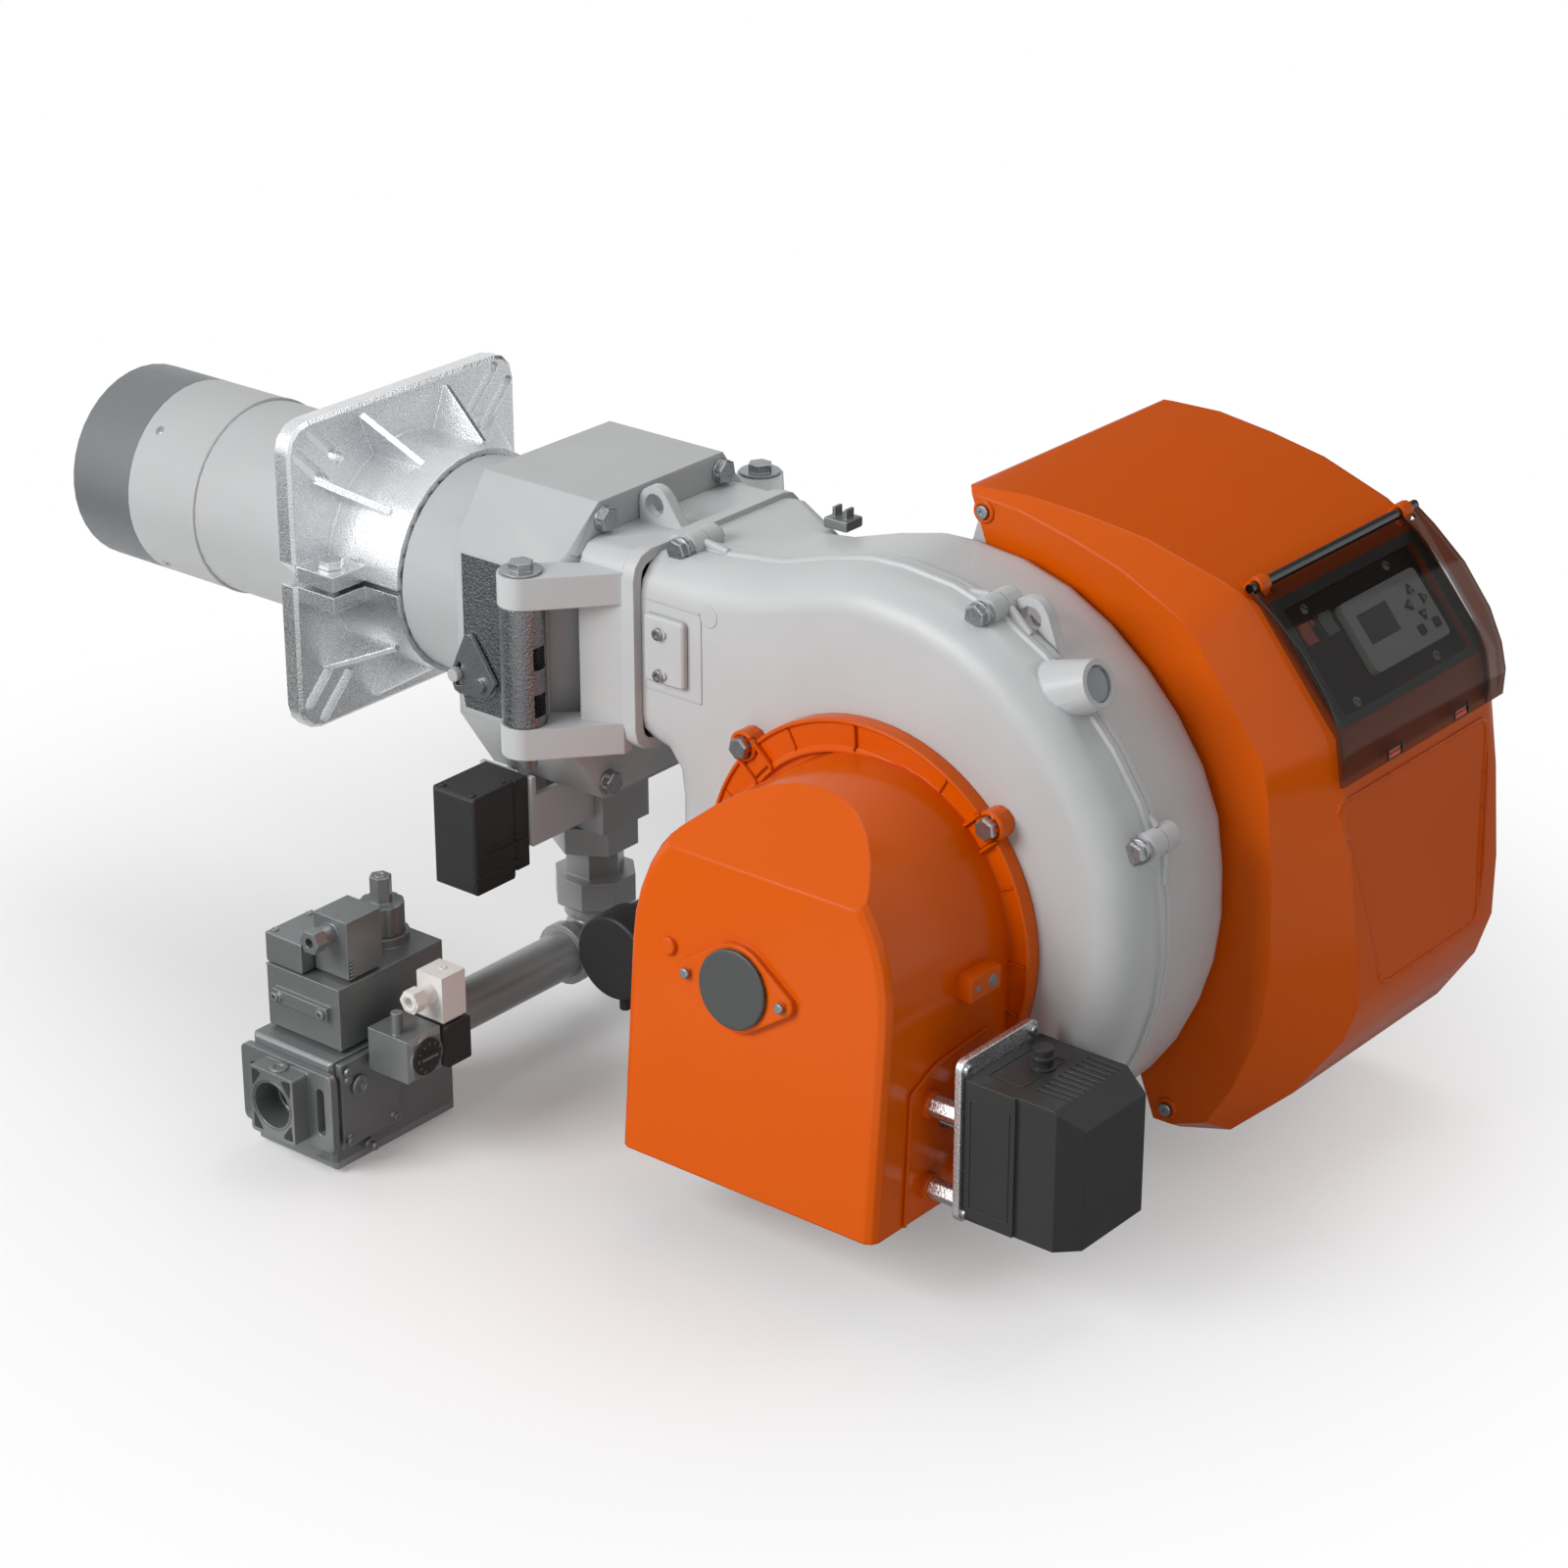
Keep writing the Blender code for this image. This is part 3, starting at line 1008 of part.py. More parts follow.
# Gas pressure switch with its setting dial, cover and plug
switch = box(SWITCH_X, SWITCH_Y, SWITCH_Z, SWITCH_EDGE, "X")
joined(switch, rod("X", DIAL_CENTRE, DIAL_RIM, (SWITCH_X[1] - 3 * LAP, SWITCH_X[1]), 22))
joined(switch, rod("X", SWITCH_NECK, SWITCH_NECK_RADIUS, (side_x[1] + PLAY, SWITCH_X[0] + LAP), 10))
joined(switch, rod("Z", (sum(SWITCH_X) / 2 + LAP, NIPPLE_Y), NIPPLE_RADIUS, (SWITCH_Z[1] - LAP, NIPPLE_TOP), 10))
cut(switch, rod("X", DIAL_CENTRE, DIAL_RADIUS + PLAY, (SWITCH_X[1] - DIAL_DEPTH, SWITCH_X[1] + PAST), 22))
node("pressure_switch", switch, "gas_grey")
dial = rod("X", DIAL_CENTRE, DIAL_RADIUS, (SWITCH_X[1] - DIAL_DEPTH + PLAY, SWITCH_X[1] + LAP / 2), 22)
grip = (DIAL_CENTRE[0] - DIAL_RADIUS * 0.8, DIAL_CENTRE[0] + DIAL_RADIUS * 0.8)
joined(dial, box((SWITCH_X[1], SWITCH_X[1] + LAP * 1.5), grip, (DIAL_CENTRE[1] - LAP, DIAL_CENTRE[1] + LAP)))
node("pressure_dial", dial, "servo_black", (SWITCH_X[1], *DIAL_CENTRE))
node("pressure_switch_cover", box(SWITCH_COVER_X, SWITCH_COVER_Y, SWITCH_COVER_Z, SWITCH_EDGE, "Y"), "servo_black")
node("pressure_switch_plug", plug(PLUG_X, PLUG_Y, (SWITCH_COVER_Z[1] + PLAY, PLUG_TOP), PLUG_GLAND_Z, VALVE_EDGE), "plug_white")
near_pin = (HINGE_X, -HINGE_Y)
node("near_pin_middle", rod("Z", near_pin, HINGE_PIN, (BARREL_Z[0], BARREL_Z[1]), 16), "zinc")


def volute_outline(left):
    """Neck and spiral of the fan housing, seen from -Y, with the left end at x = left."""
    points = [(left, NECK_BOTTOM), (left, NECK_TOP)]
    points += [p for p in TOP_DIP if p[0] > left + LAP]
    angle = SPIRAL[0][0]
    while angle >= SPIRAL[-1][0]:
        for (a, ra), (b, rb) in zip(SPIRAL, SPIRAL[1:]):
            if a >= angle >= b:
                radius = ra + (rb - ra) * (a - angle) / (a - b)
                break
        points.append((FAN_X + radius * math.cos(math.radians(angle)), FAN_Z + radius * math.sin(math.radians(angle))))
        angle -= SPIRAL_STEP
    points += [p for p in THROAT if p[0] > left + LAP]
    return points[::-1]


def across_y(outline, y):
    return [(p, y, q) for p, q in outline]


def across_shell(outline, steps):
    return [across_y(offset(outline, d), y) for y, d in steps]


# Near shell: rounded cover with bosses on the seam, sight port and air eye
seam_near = SEAM_Y - PLAY
shell_outline = volute_outline(NECK_X[1] - 1.4 * NEAR_INSET)
bead_end = seam_near - SEAM_BEAD_WIDTH
shell = loft(across_shell(shell_outline, (
    (seam_near, SEAM_BEAD), (bead_end, SEAM_BEAD), (bead_end - SEAM_BEAD / 2, 0.0),
    *((y, -d) for y, d in NEAR_ROUND), (NEAR_FACE, -NEAR_INSET),
)))
for x, z in SEAM_BOLTS:
    joined(shell, rod("Y", (x, z), SEAM_BOSS, (seam_near - SEAM_BOSS_LENGTH, seam_near), 14))
    head_y = (seam_near - SEAM_BOSS_LENGTH - HEX_HEIGHT, seam_near - SEAM_BOSS_LENGTH + LAP)
    joined(shell, prism("Y", hexagon((x, z), SEAM_HEX), head_y))

sight_root, sight_face = Vector(SIGHT_ROOT), Vector(SIGHT_FACE)
sight_line = (sight_face - sight_root).normalized()


def sight_ring(place, radius):
    side = Vector((0, 1, 0))
    up = sight_line.cross(side)
    return [tuple(place + side * p + up * q) for p, q in circle((0, 0), radius, 22)]


def sight_cone(grow, back, ahead):
    taper = (SIGHT_RADII[0] - SIGHT_RADII[1]) / (sight_face - sight_root).length
    ends = ((sight_root - sight_line * back, SIGHT_RADII[0] + taper * back), (sight_face + sight_line * ahead, SIGHT_RADII[1] - taper * ahead))
    return loft([sight_ring(place, radius + grow) for place, radius in ends])


joined(shell, sight_cone(0.0, 0.0, 0.0))
cut(shell, loft(across_shell(shell_outline, (
    (SEAM_Y + PAST, -HOUSING_WALL), *((y + HOUSING_WALL / 2, -d - HOUSING_WALL) for y, d in NEAR_ROUND[:-1]),
    (NEAR_FACE + HOUSING_WALL, -NEAR_INSET - HOUSING_WALL / 2),
))))
cut(shell, box((NECK_X[0] - 4 * PAST, NECK_X[1] + PLAY), (-BOX_HALF, BOX_HALF), both(FLANGE_SIDE)))
cut(shell, rod("Y", (FAN_X, FAN_Z), EYE_RADIUS, (NEAR_FACE - PAST, NEAR_FACE + HOUSING_WALL + PAST), 32))
cut(shell, loft([sight_ring(sight_root - sight_line * LUG_HOLE, SIGHT_BORE), sight_ring(sight_face + sight_line * PAST, SIGHT_BORE)]))
hatch_hole_x = (HATCH_X[0] + HATCH_HOLE, HATCH_X[1] - HATCH_HOLE)
hatch_hole_z = (HATCH_Z[0] + HATCH_HOLE, HATCH_Z[1] - HATCH_HOLE)
cut(shell, round_box("Y", hatch_hole_x, hatch_hole_z, (NEAR_FACE - PAST, NEAR_FACE + HOUSING_WALL + 3 * PAST), HATCH_FRAME / 2))
node("volute_near_shell", shell, "housing_grey")

lens_span = (sight_face - sight_line * (SIGHT_LENS_DEPTH + LAP), sight_face - sight_line * LAP)
lens = loft([sight_ring(place, SIGHT_BORE - PLAY) for place in lens_span])
node("sight_glass", lens, "lens")

hatch_y = (NEAR_FACE - PLAY - HATCH_THICK, NEAR_FACE - PLAY)
hatch = round_box("Y", HATCH_X, HATCH_Z, hatch_y, HATCH_FRAME / 2, LAP)
for z in (HATCH_Z[0] + HATCH_HOLE, HATCH_Z[1] - 1.5 * HATCH_HOLE):
    joined(hatch, rod("Y", (sum(HATCH_X) / 2, z), HATCH_FRAME / 2, (hatch_y[0] - LAP, hatch_y[0] + LAP), 10))
node("hatch_plate", hatch, "housing_grey")


def neck_section(grow, x, near=-NECK_HALF, far=NECK_HALF):
    corner = NECK_CORNER + grow
    return across_x(round_rect((near - grow, far + grow), (NECK_BOTTOM - grow, NECK_TOP + grow), corner), x)


def slope_section(grow, x, far):
    return across_x(round_rect((-2 * NECK_CORNER, far + grow), (NECK_BOTTOM + LAP / 4 - grow, NECK_TOP - LAP / 4 + grow), NECK_CORNER + grow), x)


# Rear half of the housing: neck towards the head, spiral, hinge arms and lugs
back_outline = volute_outline(NECK_X[1] - PAST * 4)
rear = loft(across_shell(back_outline, (
    (SEAM_Y, SEAM_BEAD), (SEAM_Y + SEAM_BEAD_WIDTH, SEAM_BEAD), (SEAM_Y + SEAM_BEAD_WIDTH + SEAM_BEAD / 2, 0.0),
    *((y, -d) for y, d in FAR_ROUND), (FAR_FACE, -FAR_INSET),
)))
joined(rear, loft([neck_section(0.0, NECK_X[0]), neck_section(0.0, NECK_X[1])]))
joined(rear, loft([neck_section(0.0, NECK_BEAD_X[0]), neck_section(NECK_BEAD, NECK_BEAD_X[0] + NECK_BEAD), neck_section(NECK_BEAD, NECK_BEAD_X[1]), neck_section(0.0, NECK_X[1] - PLAY)]))
joined(rear, loft([
    slope_section(0.0, NECK_X[1] - 2 * LAP, NECK_HALF), slope_section(0.0, BACK_SLOPE_X[0], NECK_HALF),
    slope_section(0.0, BACK_SLOPE_X[1], FAR_FACE - 2 * LAP),
]))
for x, z in SEAM_BOLTS:
    joined(rear, rod("Y", (x, z), SEAM_BOSS, (SEAM_Y, SEAM_Y + SEAM_BOSS_LENGTH), 14))
for span, (middle, radius), feet in ((FRONT_LUG_Y, FRONT_LUG, FRONT_LUG_FEET), (REAR_LUG_Y, REAR_LUG, REAR_LUG_FEET)):
    joined(rear, prism("Y", around(*circle(middle, radius, 16), *feet), span))
joined(rear, prism("Y", around(*circle((AIR_SWITCH_X, AIR_SWITCH_Z), AIR_COVER_RADIUS / 2, 12), *AIR_LUG_FEET), AIR_LUG_Y))
for side in (-1, 1):
    pin_at = (HINGE_X, side * HINGE_Y)
    straps = [(x, -side * y) for x, y in ARM_OUTER + ARM_INNER]
    for span in (UPPER_EAR_Z, LOWER_EAR_Z):
        joined(rear, prism("Z", around(*circle(pin_at, EAR_RADIUS, 16), *straps), span))
    cheek = [(x, -side * y) for x, y in ARM_WALL]
    joined(rear, prism("Z", around(*cheek), (LOWER_EAR_Z[0] + LAP, UPPER_EAR_Z[1] - LAP)))
cut(rear, loft(across_shell(back_outline, (
    (SEAM_Y - PAST, -HOUSING_WALL), (FAR_ROUND[0][0] - HOUSING_WALL, -HOUSING_WALL - LAP), (FAR_FACE - HOUSING_WALL, -FAR_INSET - HOUSING_WALL / 2),
))))
cut(rear, loft([neck_section(-HOUSING_WALL, NECK_X[0] - PAST), neck_section(-HOUSING_WALL, NECK_X[1] + PAST)]))
cut(rear, loft([
    slope_section(-HOUSING_WALL, NECK_X[1] - LAP, NECK_HALF), slope_section(-HOUSING_WALL, BACK_SLOPE_X[0], NECK_HALF),
    slope_section(-HOUSING_WALL, BACK_SLOPE_X[1], FAR_FACE - 2 * LAP),
]))
for side in (-1, 1):
    cut(rear, rod("Z", (HINGE_X, side * HINGE_Y), HINGE_PIN + PLAY, (LOWER_EAR_Z[0] - PAST, UPPER_EAR_Z[1] + PAST), 16))
for span, (middle, radius) in ((FRONT_LUG_Y, FRONT_LUG), (REAR_LUG_Y, REAR_LUG)):
    cut(rear, rod("Y", middle, LUG_HOLE, (span[0] - PAST, span[1] + PAST), 16))
cut(rear, sight_cone(PLAY, LUG_HOLE, PAST))
cut(rear, rod("Y", (FAN_X, FAN_Z), MOTOR_BORE, (FAR_FACE - HOUSING_WALL - PAST, FAR_FACE + PAST), 22))
for (sx, sz), (fx, fz) in zip(HOOD_SCREWS, HOOD_FEET):
    arm_y = (HOOD_BRIM_Y + HOOD_WALL + PLAY, HOOD_BRIM_Y + HOOD_WALL + PLAY + HOUSING_WALL)
    arm = prism("Y", around(*circle((sx, sz), HOOD_LUG_RADIUS * 0.6, 10), *circle((fx, fz), HOOD_LUG_RADIUS, 10)), arm_y)
    joined(rear, joined(arm, rod("Y", (fx, fz), HOOD_LUG_RADIUS, (FAR_FACE - HOUSING_WALL / 2, arm_y[1] - LAP), 10)))
node("volute_rear_half", rear, "housing_grey")


def hinge_cap(side, top, tip):
    """The visible ends of a hinge pin: washer and hex on top, ring and taper below."""
    at = (HINGE_X, side * HINGE_Y)
    pieces = []
    if top:
        washer = rod("Z", at, PIN_WASHER, (UPPER_EAR_Z[1] + PLAY, UPPER_EAR_Z[1] + PLAY + LAP), 16)
        pieces.append(joined(washer, prism("Z", hexagon(at, PIN_HEX), (UPPER_EAR_Z[1] + LAP, PIN_TOP))))
    if tip:
        profile = (
            (PIN_TIP, HINGE_PIN * 0.6), (PIN_TIP + 2 * LAP, HINGE_PIN), (LOWER_EAR_Z[0] - 3 * LAP, HINGE_PIN * 1.3), (LOWER_EAR_Z[0] - PLAY, HINGE_PIN * 1.3),
        )
        pieces.append(turned("Z", at, profile, 16))
    return pieces


far_at, near_at = (HINGE_X, HINGE_Y), (HINGE_X, -HINGE_Y)
far_pin = rod("Z", far_at, HINGE_PIN, (LOWER_EAR_Z[0] - LAP, UPPER_EAR_Z[1] + LAP), 16)
node("far_hinge_pin", joined(far_pin, *hinge_cap(1, True, True)), "zinc")
near_top = rod("Z", near_at, HINGE_PIN, (UPPER_EAR_Z[0], UPPER_EAR_Z[1] + LAP), 16)
node("near_pin_head", joined(near_top, *hinge_cap(-1, True, False)), "zinc")
near_tip = rod("Z", near_at, HINGE_PIN, (LOWER_EAR_Z[0] - LAP, LOWER_EAR_Z[1]), 16)
node("near_pin_tip", joined(near_tip, *hinge_cap(-1, False, True)), "zinc")

# Impeller on the motor shaft
fan_at = (FAN_X, FAN_Z)
impeller = rod("Y", fan_at, FAN_RADIUS, (FAN_Y[1] - FAN_PLATE, FAN_Y[1]), 32)
joined(impeller, rod("Y", fan_at, HUB_RADIUS, (FAN_Y[1] - FAN_PLATE - HUB_RADIUS, FAN_Y[1] - FAN_PLATE + LAP / 2), 16))
joined(impeller, rod("Y", fan_at, MOTOR_SHAFT, (FAN_Y[1] - LAP, MOTOR_SHAFT_END), 16))
joined(impeller, tube("Y", fan_at, FAN_RADIUS, FAN_RADIUS * BLADE_INNER_SHARE, (FAN_Y[0], FAN_Y[0] + FAN_RIM), 32))
for i in range(BLADES):
    blade = []
    for side, steps in ((-0.5, range(3)), (0.5, range(2, -1, -1))):
        for k in steps:
            share = k / 2
            radius = FAN_RADIUS * (BLADE_INNER_SHARE + LAP + (0.995 - BLADE_INNER_SHARE - LAP) * share)
            angle = 2 * math.pi * i / BLADES + BLADE_SWEEP * (1 - (1 - share) ** 2) * (1 - BLADE_INNER_SHARE) * 2.4
            angle += side * BLADE_THICK / radius
            blade.append((FAN_X + radius * math.cos(angle), FAN_Z + radius * math.sin(angle)))
    joined(impeller, prism("Y", blade, (FAN_Y[0] + FAN_RIM / 2, FAN_Y[1] - FAN_PLATE / 2)))
node("impeller", impeller, "zinc", (FAN_X, 0, FAN_Z))

# Motor: flange, finned body and fan cowl, and its terminal box
motor = rod("Y", fan_at, MOTOR_FLANGE, (FAR_FACE + PLAY, FAR_FACE + PLAY + MOTOR_FLANGE_THICK), 48, LAP)
fins = []
for i in range(FIN_COUNT * 4):
    radius = MOTOR_RADIUS if i % 4 in (0, 1) else MOTOR_RADIUS - FIN_HEIGHT
    step = 2 * math.pi / FIN_COUNT
    angle = (i // 4) * step + (-0.18, 0.18, 0.24, 0.76)[i % 4] * step
    fins.append((FAN_X + radius * math.cos(angle), FAN_Z + radius * math.sin(angle)))
joined(motor, prism("Y", fins, (FAR_FACE + MOTOR_FLANGE_THICK - LAP, MOTOR_END)))
joined(motor, rod("Y", fan_at, COWL_RADIUS, (MOTOR_END - LAP, COWL_END), 48, 3 * LAP))
saddle_top = FAN_Z + MOTOR_RADIUS + 2 * LAP
joined(motor, box((TERMINAL_X[0] + 4 * LAP, TERMINAL_X[1] - 4 * LAP), (TERMINAL_Y[0] + 4 * LAP, TERMINAL_Y[1] - 4 * LAP), (FAN_Z + MOTOR_RADIUS - 10 * LAP, saddle_top)))
cut(motor, rod("Y", fan_at, MOTOR_SHAFT + PLAY, (FAR_FACE - PAST, MOTOR_SHAFT_END + PLAY), 16))
for i in range(8):
    angle = math.pi / 4 * i + math.pi / 8
    middle = (FAN_X + COWL_RADIUS * 0.55 * math.cos(angle), FAN_Z + COWL_RADIUS * 0.55 * math.sin(angle))
    hole = around(*circle(middle, COWL_RADIUS * 0.14, 8))
    cut(motor, prism("Y", hole, (COWL_END - 4 * LAP, COWL_END + PAST)))
node("fan_motor", motor, "gas_grey")
terminal_z = (saddle_top + PLAY, saddle_top + PLAY + TERMINAL_HEIGHT)
terminal = box(TERMINAL_X, TERMINAL_Y, terminal_z, VALVE_EDGE)
gland_z = sum(terminal_z) / 2
joined(terminal, rod("X", (sum(TERMINAL_Y) / 2, gland_z), GLAND_RADIUS, (TERMINAL_X[0] - GLAND_RADIUS, TERMINAL_X[0] + LAP), 12))
node("motor_terminal_box", terminal, "servo_black")


def front_y(z):
    share = (ROOF_CREASE - z) / (ROOF_CREASE - INTAKE_BOTTOM)
    return INTAKE_FRONT_TOP + (INTAKE_FRONT_BOTTOM - INTAKE_FRONT_TOP) * share


def intake_section(inset, y, bottom=INTAKE_BOTTOM):
    """The arch across the intake; y is a depth or the front face's offset."""
    top, power = ARCH_TOP - inset, ARCH_POWER_SHARE
    middle, half = sum(INTAKE_X) / 2, (INTAKE_X[1] - INTAKE_X[0]) / 2 - inset
    outline = [(middle + half, bottom)]
    for i in range(ARCH_STEPS + 1):
        a = math.pi * i / ARCH_STEPS
        c, s = math.cos(a), math.sin(a)
        across = math.copysign(abs(c) ** (2 / power), c)
        outline.append((middle + half * across, ARCH_SHOULDER + (top - ARCH_SHOULDER) * abs(s) ** (2 / power)))
    outline.append((middle - half, bottom))
    return [(p, y(q) if callable(y) else y, q) for p, q in outline]


def above_roof(inset):
    """What the roof's slope takes off the arch, at an inset below the outer skin."""
    low, high = Vector((INTAKE_FRONT_TOP, ROOF_CREASE)), Vector((ROOF_TOP_Y, ARCH_TOP))
    up_slope = (high - low).normalized()
    outward = Vector((-up_slope.y, up_slope.x))
    start = low - up_slope * RING_RADIUS - outward * inset
    end = high + up_slope * RING_RADIUS - outward * inset
    outline = [tuple(start), tuple(end), tuple(end + outward * RING_RADIUS), tuple(start + outward * RING_RADIUS)]
    return prism("X", outline, grown(INTAKE_X, PAST))


# Air intake: ring on the housing, body open underneath, diamond boss on the leaning front
ring_back = RING_Y[1]
intake = rod("Y", fan_at, RING_RADIUS, RING_Y, 64, LAP)
arch = loft([
    intake_section(0.0, RING_Y[0] + LAP),
    intake_section(0.0, lambda z: front_y(z) + INTAKE_EDGE),
    intake_section(INTAKE_EDGE * 0.35, lambda z: front_y(z) + INTAKE_EDGE * 0.35),
    intake_section(INTAKE_EDGE, front_y),
])
joined(intake, cut(arch, above_roof(0.0)))
for angle in RING_BOLTS:
    a = math.radians(angle)
    at = (FAN_X + RING_BOLT_CIRCLE * math.cos(a), FAN_Z + RING_BOLT_CIRCLE * math.sin(a))
    joined(intake, rod("Y", at, RING_BOSS, (RING_Y[0] - LAP, RING_Y[1]), 12))
    joined(intake, prism("Y", hexagon(at, SEAM_HEX), (RING_Y[0] - LAP - HEX_HEIGHT, RING_Y[0])))
inner = INTAKE_WALL
below = INTAKE_BOTTOM - PAST
hollow = loft([
    intake_section(inner, RING_Y[0] - LAP, below),
    intake_section(inner, lambda z: front_y(z) + INTAKE_EDGE + inner, below),
    intake_section(inner + INTAKE_EDGE, lambda z: front_y(z) + inner, below),
])
cut(intake, cut(hollow, above_roof(inner)))
cut(intake, rod("Y", fan_at, EYE_RADIUS, (RING_Y[0] - 2 * PAST, RING_Y[1] + PAST), 32))
lean = -math.atan2(INTAKE_FRONT_TOP - INTAKE_FRONT_BOTTOM, ROOF_CREASE - INTAKE_BOTTOM)
cap_at = (CAP_CENTRE_X, CAP_CENTRE_Z)
face_y = front_y(CAP_CENTRE_Z)
ears = [(CAP_CENTRE_X - DIAMOND_REACH, CAP_CENTRE_Z), (CAP_CENTRE_X + DIAMOND_REACH, CAP_CENTRE_Z)]
diamond = prism("Y", around(*circle(cap_at, CAP_RADIUS + LAP * 2, 22), *(p for ear in ears for p in circle(ear, DIAMOND_EAR, 10))), (face_y - DIAMOND_HEIGHT, face_y + INTAKE_WALL / 2), LAP / 2)
for ear in ears:
    joined(diamond, rod("Y", ear, DIAMOND_EAR * 0.45, (face_y - DIAMOND_HEIGHT - LAP, face_y - DIAMOND_HEIGHT + LAP), 8))
joined(diamond, rod("Y", PLUG_BOSS, PLUG_BOSS_RADIUS, (face_y - DIAMOND_HEIGHT * 0.7, face_y + INTAKE_WALL / 2), 20, LAP / 2))
joined(intake, turned_by(diamond, lean, "X", (0, face_y, CAP_CENTRE_Z)))
for y in STANDOFF_Y:
    for z in STANDOFF_Z:
        joined(intake, rod("X", (y, z), STANDOFF_BOSS, (INTAKE_X[1] - INTAKE_WALL / 2, STANDOFF_BOSS_END), 12))
damper_at = (DAMPER_Y, DAMPER_Z)
cut(intake, rod("X", damper_at, DAMPER_SHAFT + PLAY, (INTAKE_X[0] - PAST, INTAKE_X[1] + PAST), 16))
node("air_intake", intake, "orange")
cap = rod("Y", cap_at, CAP_RADIUS, (face_y - DIAMOND_HEIGHT - PLAY - CAP_THICK, face_y - DIAMOND_HEIGHT - PLAY), 48, LAP / 2)
node("intake_cap", turned_by(cap, lean, "X", (0, face_y, CAP_CENTRE_Z)), "disc_grey")
flap_x = (INTAKE_X[0] + INTAKE_WALL + DAMPER_END_PLAY, INTAKE_X[1] - INTAKE_WALL - DAMPER_END_PLAY)
damper = box(flap_x, (DAMPER_Y - DAMPER_HALF, DAMPER_Y + DAMPER_HALF), (DAMPER_Z - DAMPER_THICK / 2, DAMPER_Z + DAMPER_THICK / 2))
joined(damper, rod("X", damper_at, DAMPER_SHAFT, (INTAKE_X[0] + PLAY, SERVO_X[0] + SERVO_SOCKET), 16))
node("air_damper", damper, "zinc", (FAN_X, DAMPER_Y, DAMPER_Z))

# Servo with its plate on four standoffs
mount = round_box("X", SERVO_PLATE_Y, SERVO_PLATE_Z, SERVO_PLATE_X, INTAKE_EDGE)
for y in STANDOFF_Y:
    for z in STANDOFF_Z:
        joined(mount, prism("X", hexagon((y, z), STANDOFF_HEX), (STANDOFF_BOSS_END + PLAY, SERVO_PLATE_X[0] + LAP)))
cut(mount, rod("X", damper_at, DAMPER_SHAFT + BOLT_PLAY, (SERVO_PLATE_X[0] - PAST, SERVO_PLATE_X[1] + PAST), 16))
node("servo_plate", mount, "cast_bright")
c = SERVO_CHAMFER
body = prism("X", [
    (SERVO_Y[0], SERVO_Z[0]), (SERVO_Y[1], SERVO_Z[0]), (SERVO_Y[1], SERVO_Z[1]), (SERVO_Y[0], SERVO_Z[1]),
], SERVO_X)
top_edge = [(SERVO_X[1] + PAST, SERVO_Z[1] - c - PAST), (SERVO_X[1] + PAST, SERVO_Z[1] + PAST), (SERVO_X[1] - c - PAST, SERVO_Z[1] + PAST)]
cut(body, prism("Y", top_edge, (SERVO_Y[0] - PAST, SERVO_Y[1] + PAST)))
side_edge = [(SERVO_X[1] + PAST, SERVO_Y[0] + c + PAST), (SERVO_X[1] + PAST, SERVO_Y[0] - PAST), (SERVO_X[1] - c - PAST, SERVO_Y[0] - PAST)]
cut(body, prism("Z", side_edge, (SERVO_Z[0] - PAST, SERVO_Z[1] + PAST)))
cut(body, box((SERVO_SPLIT, SERVO_X[1] + PAST), (SERVO_Y[0] - PAST, SERVO_Y[0] + LAP), (SERVO_Z[0] - PAST, SERVO_Z[1] + PAST)))
for i in range(VENT_COUNT):
    y = SERVO_Y[1] - VENT_WIDTH * 3 - i * (SERVO_Y[1] - SERVO_Y[0] - 8 * VENT_WIDTH) / VENT_COUNT
    cut(body, box((SERVO_SPLIT + 2 * LAP, SERVO_SPLIT + 2 * LAP + VENT_LENGTH), (y - VENT_WIDTH / 2, y + VENT_WIDTH / 2), (SERVO_Z[1] - VENT_DEPTH, SERVO_Z[1] + PAST)))
joined(body, rod("Z", SERVO_STUB, SERVO_STUB_RADIUS, (SERVO_Z[1] - LAP, SERVO_STUB_TOP), 12))
cut(body, rod("X", damper_at, DAMPER_SHAFT + PLAY, (SERVO_X[0] - PAST, SERVO_X[0] + SERVO_SOCKET + PLAY), 16))
node("air_servo", body, "servo_black")

# Air pressure switch seated on the housing's lug
air_at = (AIR_SWITCH_X, AIR_SWITCH_Z)
node("air_switch_cover", rod("Y", air_at, AIR_COVER_RADIUS, AIR_COVER_Y, 32, LAP), "servo_black")
air_body = rod("Y", air_at, AIR_SWITCH_RADIUS, AIR_SWITCH_Y, 40, LAP)
joined(air_body, rod("Z", (AIR_SWITCH_X, sum(AIR_SWITCH_Y) / 2), NIPPLE_RADIUS, (AIR_SWITCH_Z - AIR_SWITCH_RADIUS - 8 * LAP, AIR_SWITCH_Z), 10))
node("air_pressure_switch", air_body, "servo_black")


def offset_each(outline, distances):
    moved_all = {distance: offset(outline, distance) for distance in set(distances)}
    return [moved_all[distance][i] for i, distance in enumerate(distances)]


def hood_skin(inset, brim_y):
    """The hood's outer skin, or its inner one at an inset."""
    outline = [corner for corner, _ in HOOD_PROFILE]
    full = [y for _, y in HOOD_PROFILE]
    brim = offset_each(outline, [-inset - (y - HOOD_BRIM_Y) * HOOD_BRIM_SHARE for y in full])
    rings = [across_y(brim, brim_y)]
    rings.append([(p, y + inset / 2, q) for (p, q), y in zip(offset(outline, -inset), full)])
    for y, d in HOOD_EDGE_ROUND:
        last = y == HOOD_EDGE_ROUND[-1][0]
        rings.append(across_y(offset(outline, -d - inset), y - (inset if last else inset / 2)))
    return loft(rings)


panel_cos, panel_sin = math.cos(math.radians(PANEL_ANGLE)), math.sin(math.radians(PANEL_ANGLE))


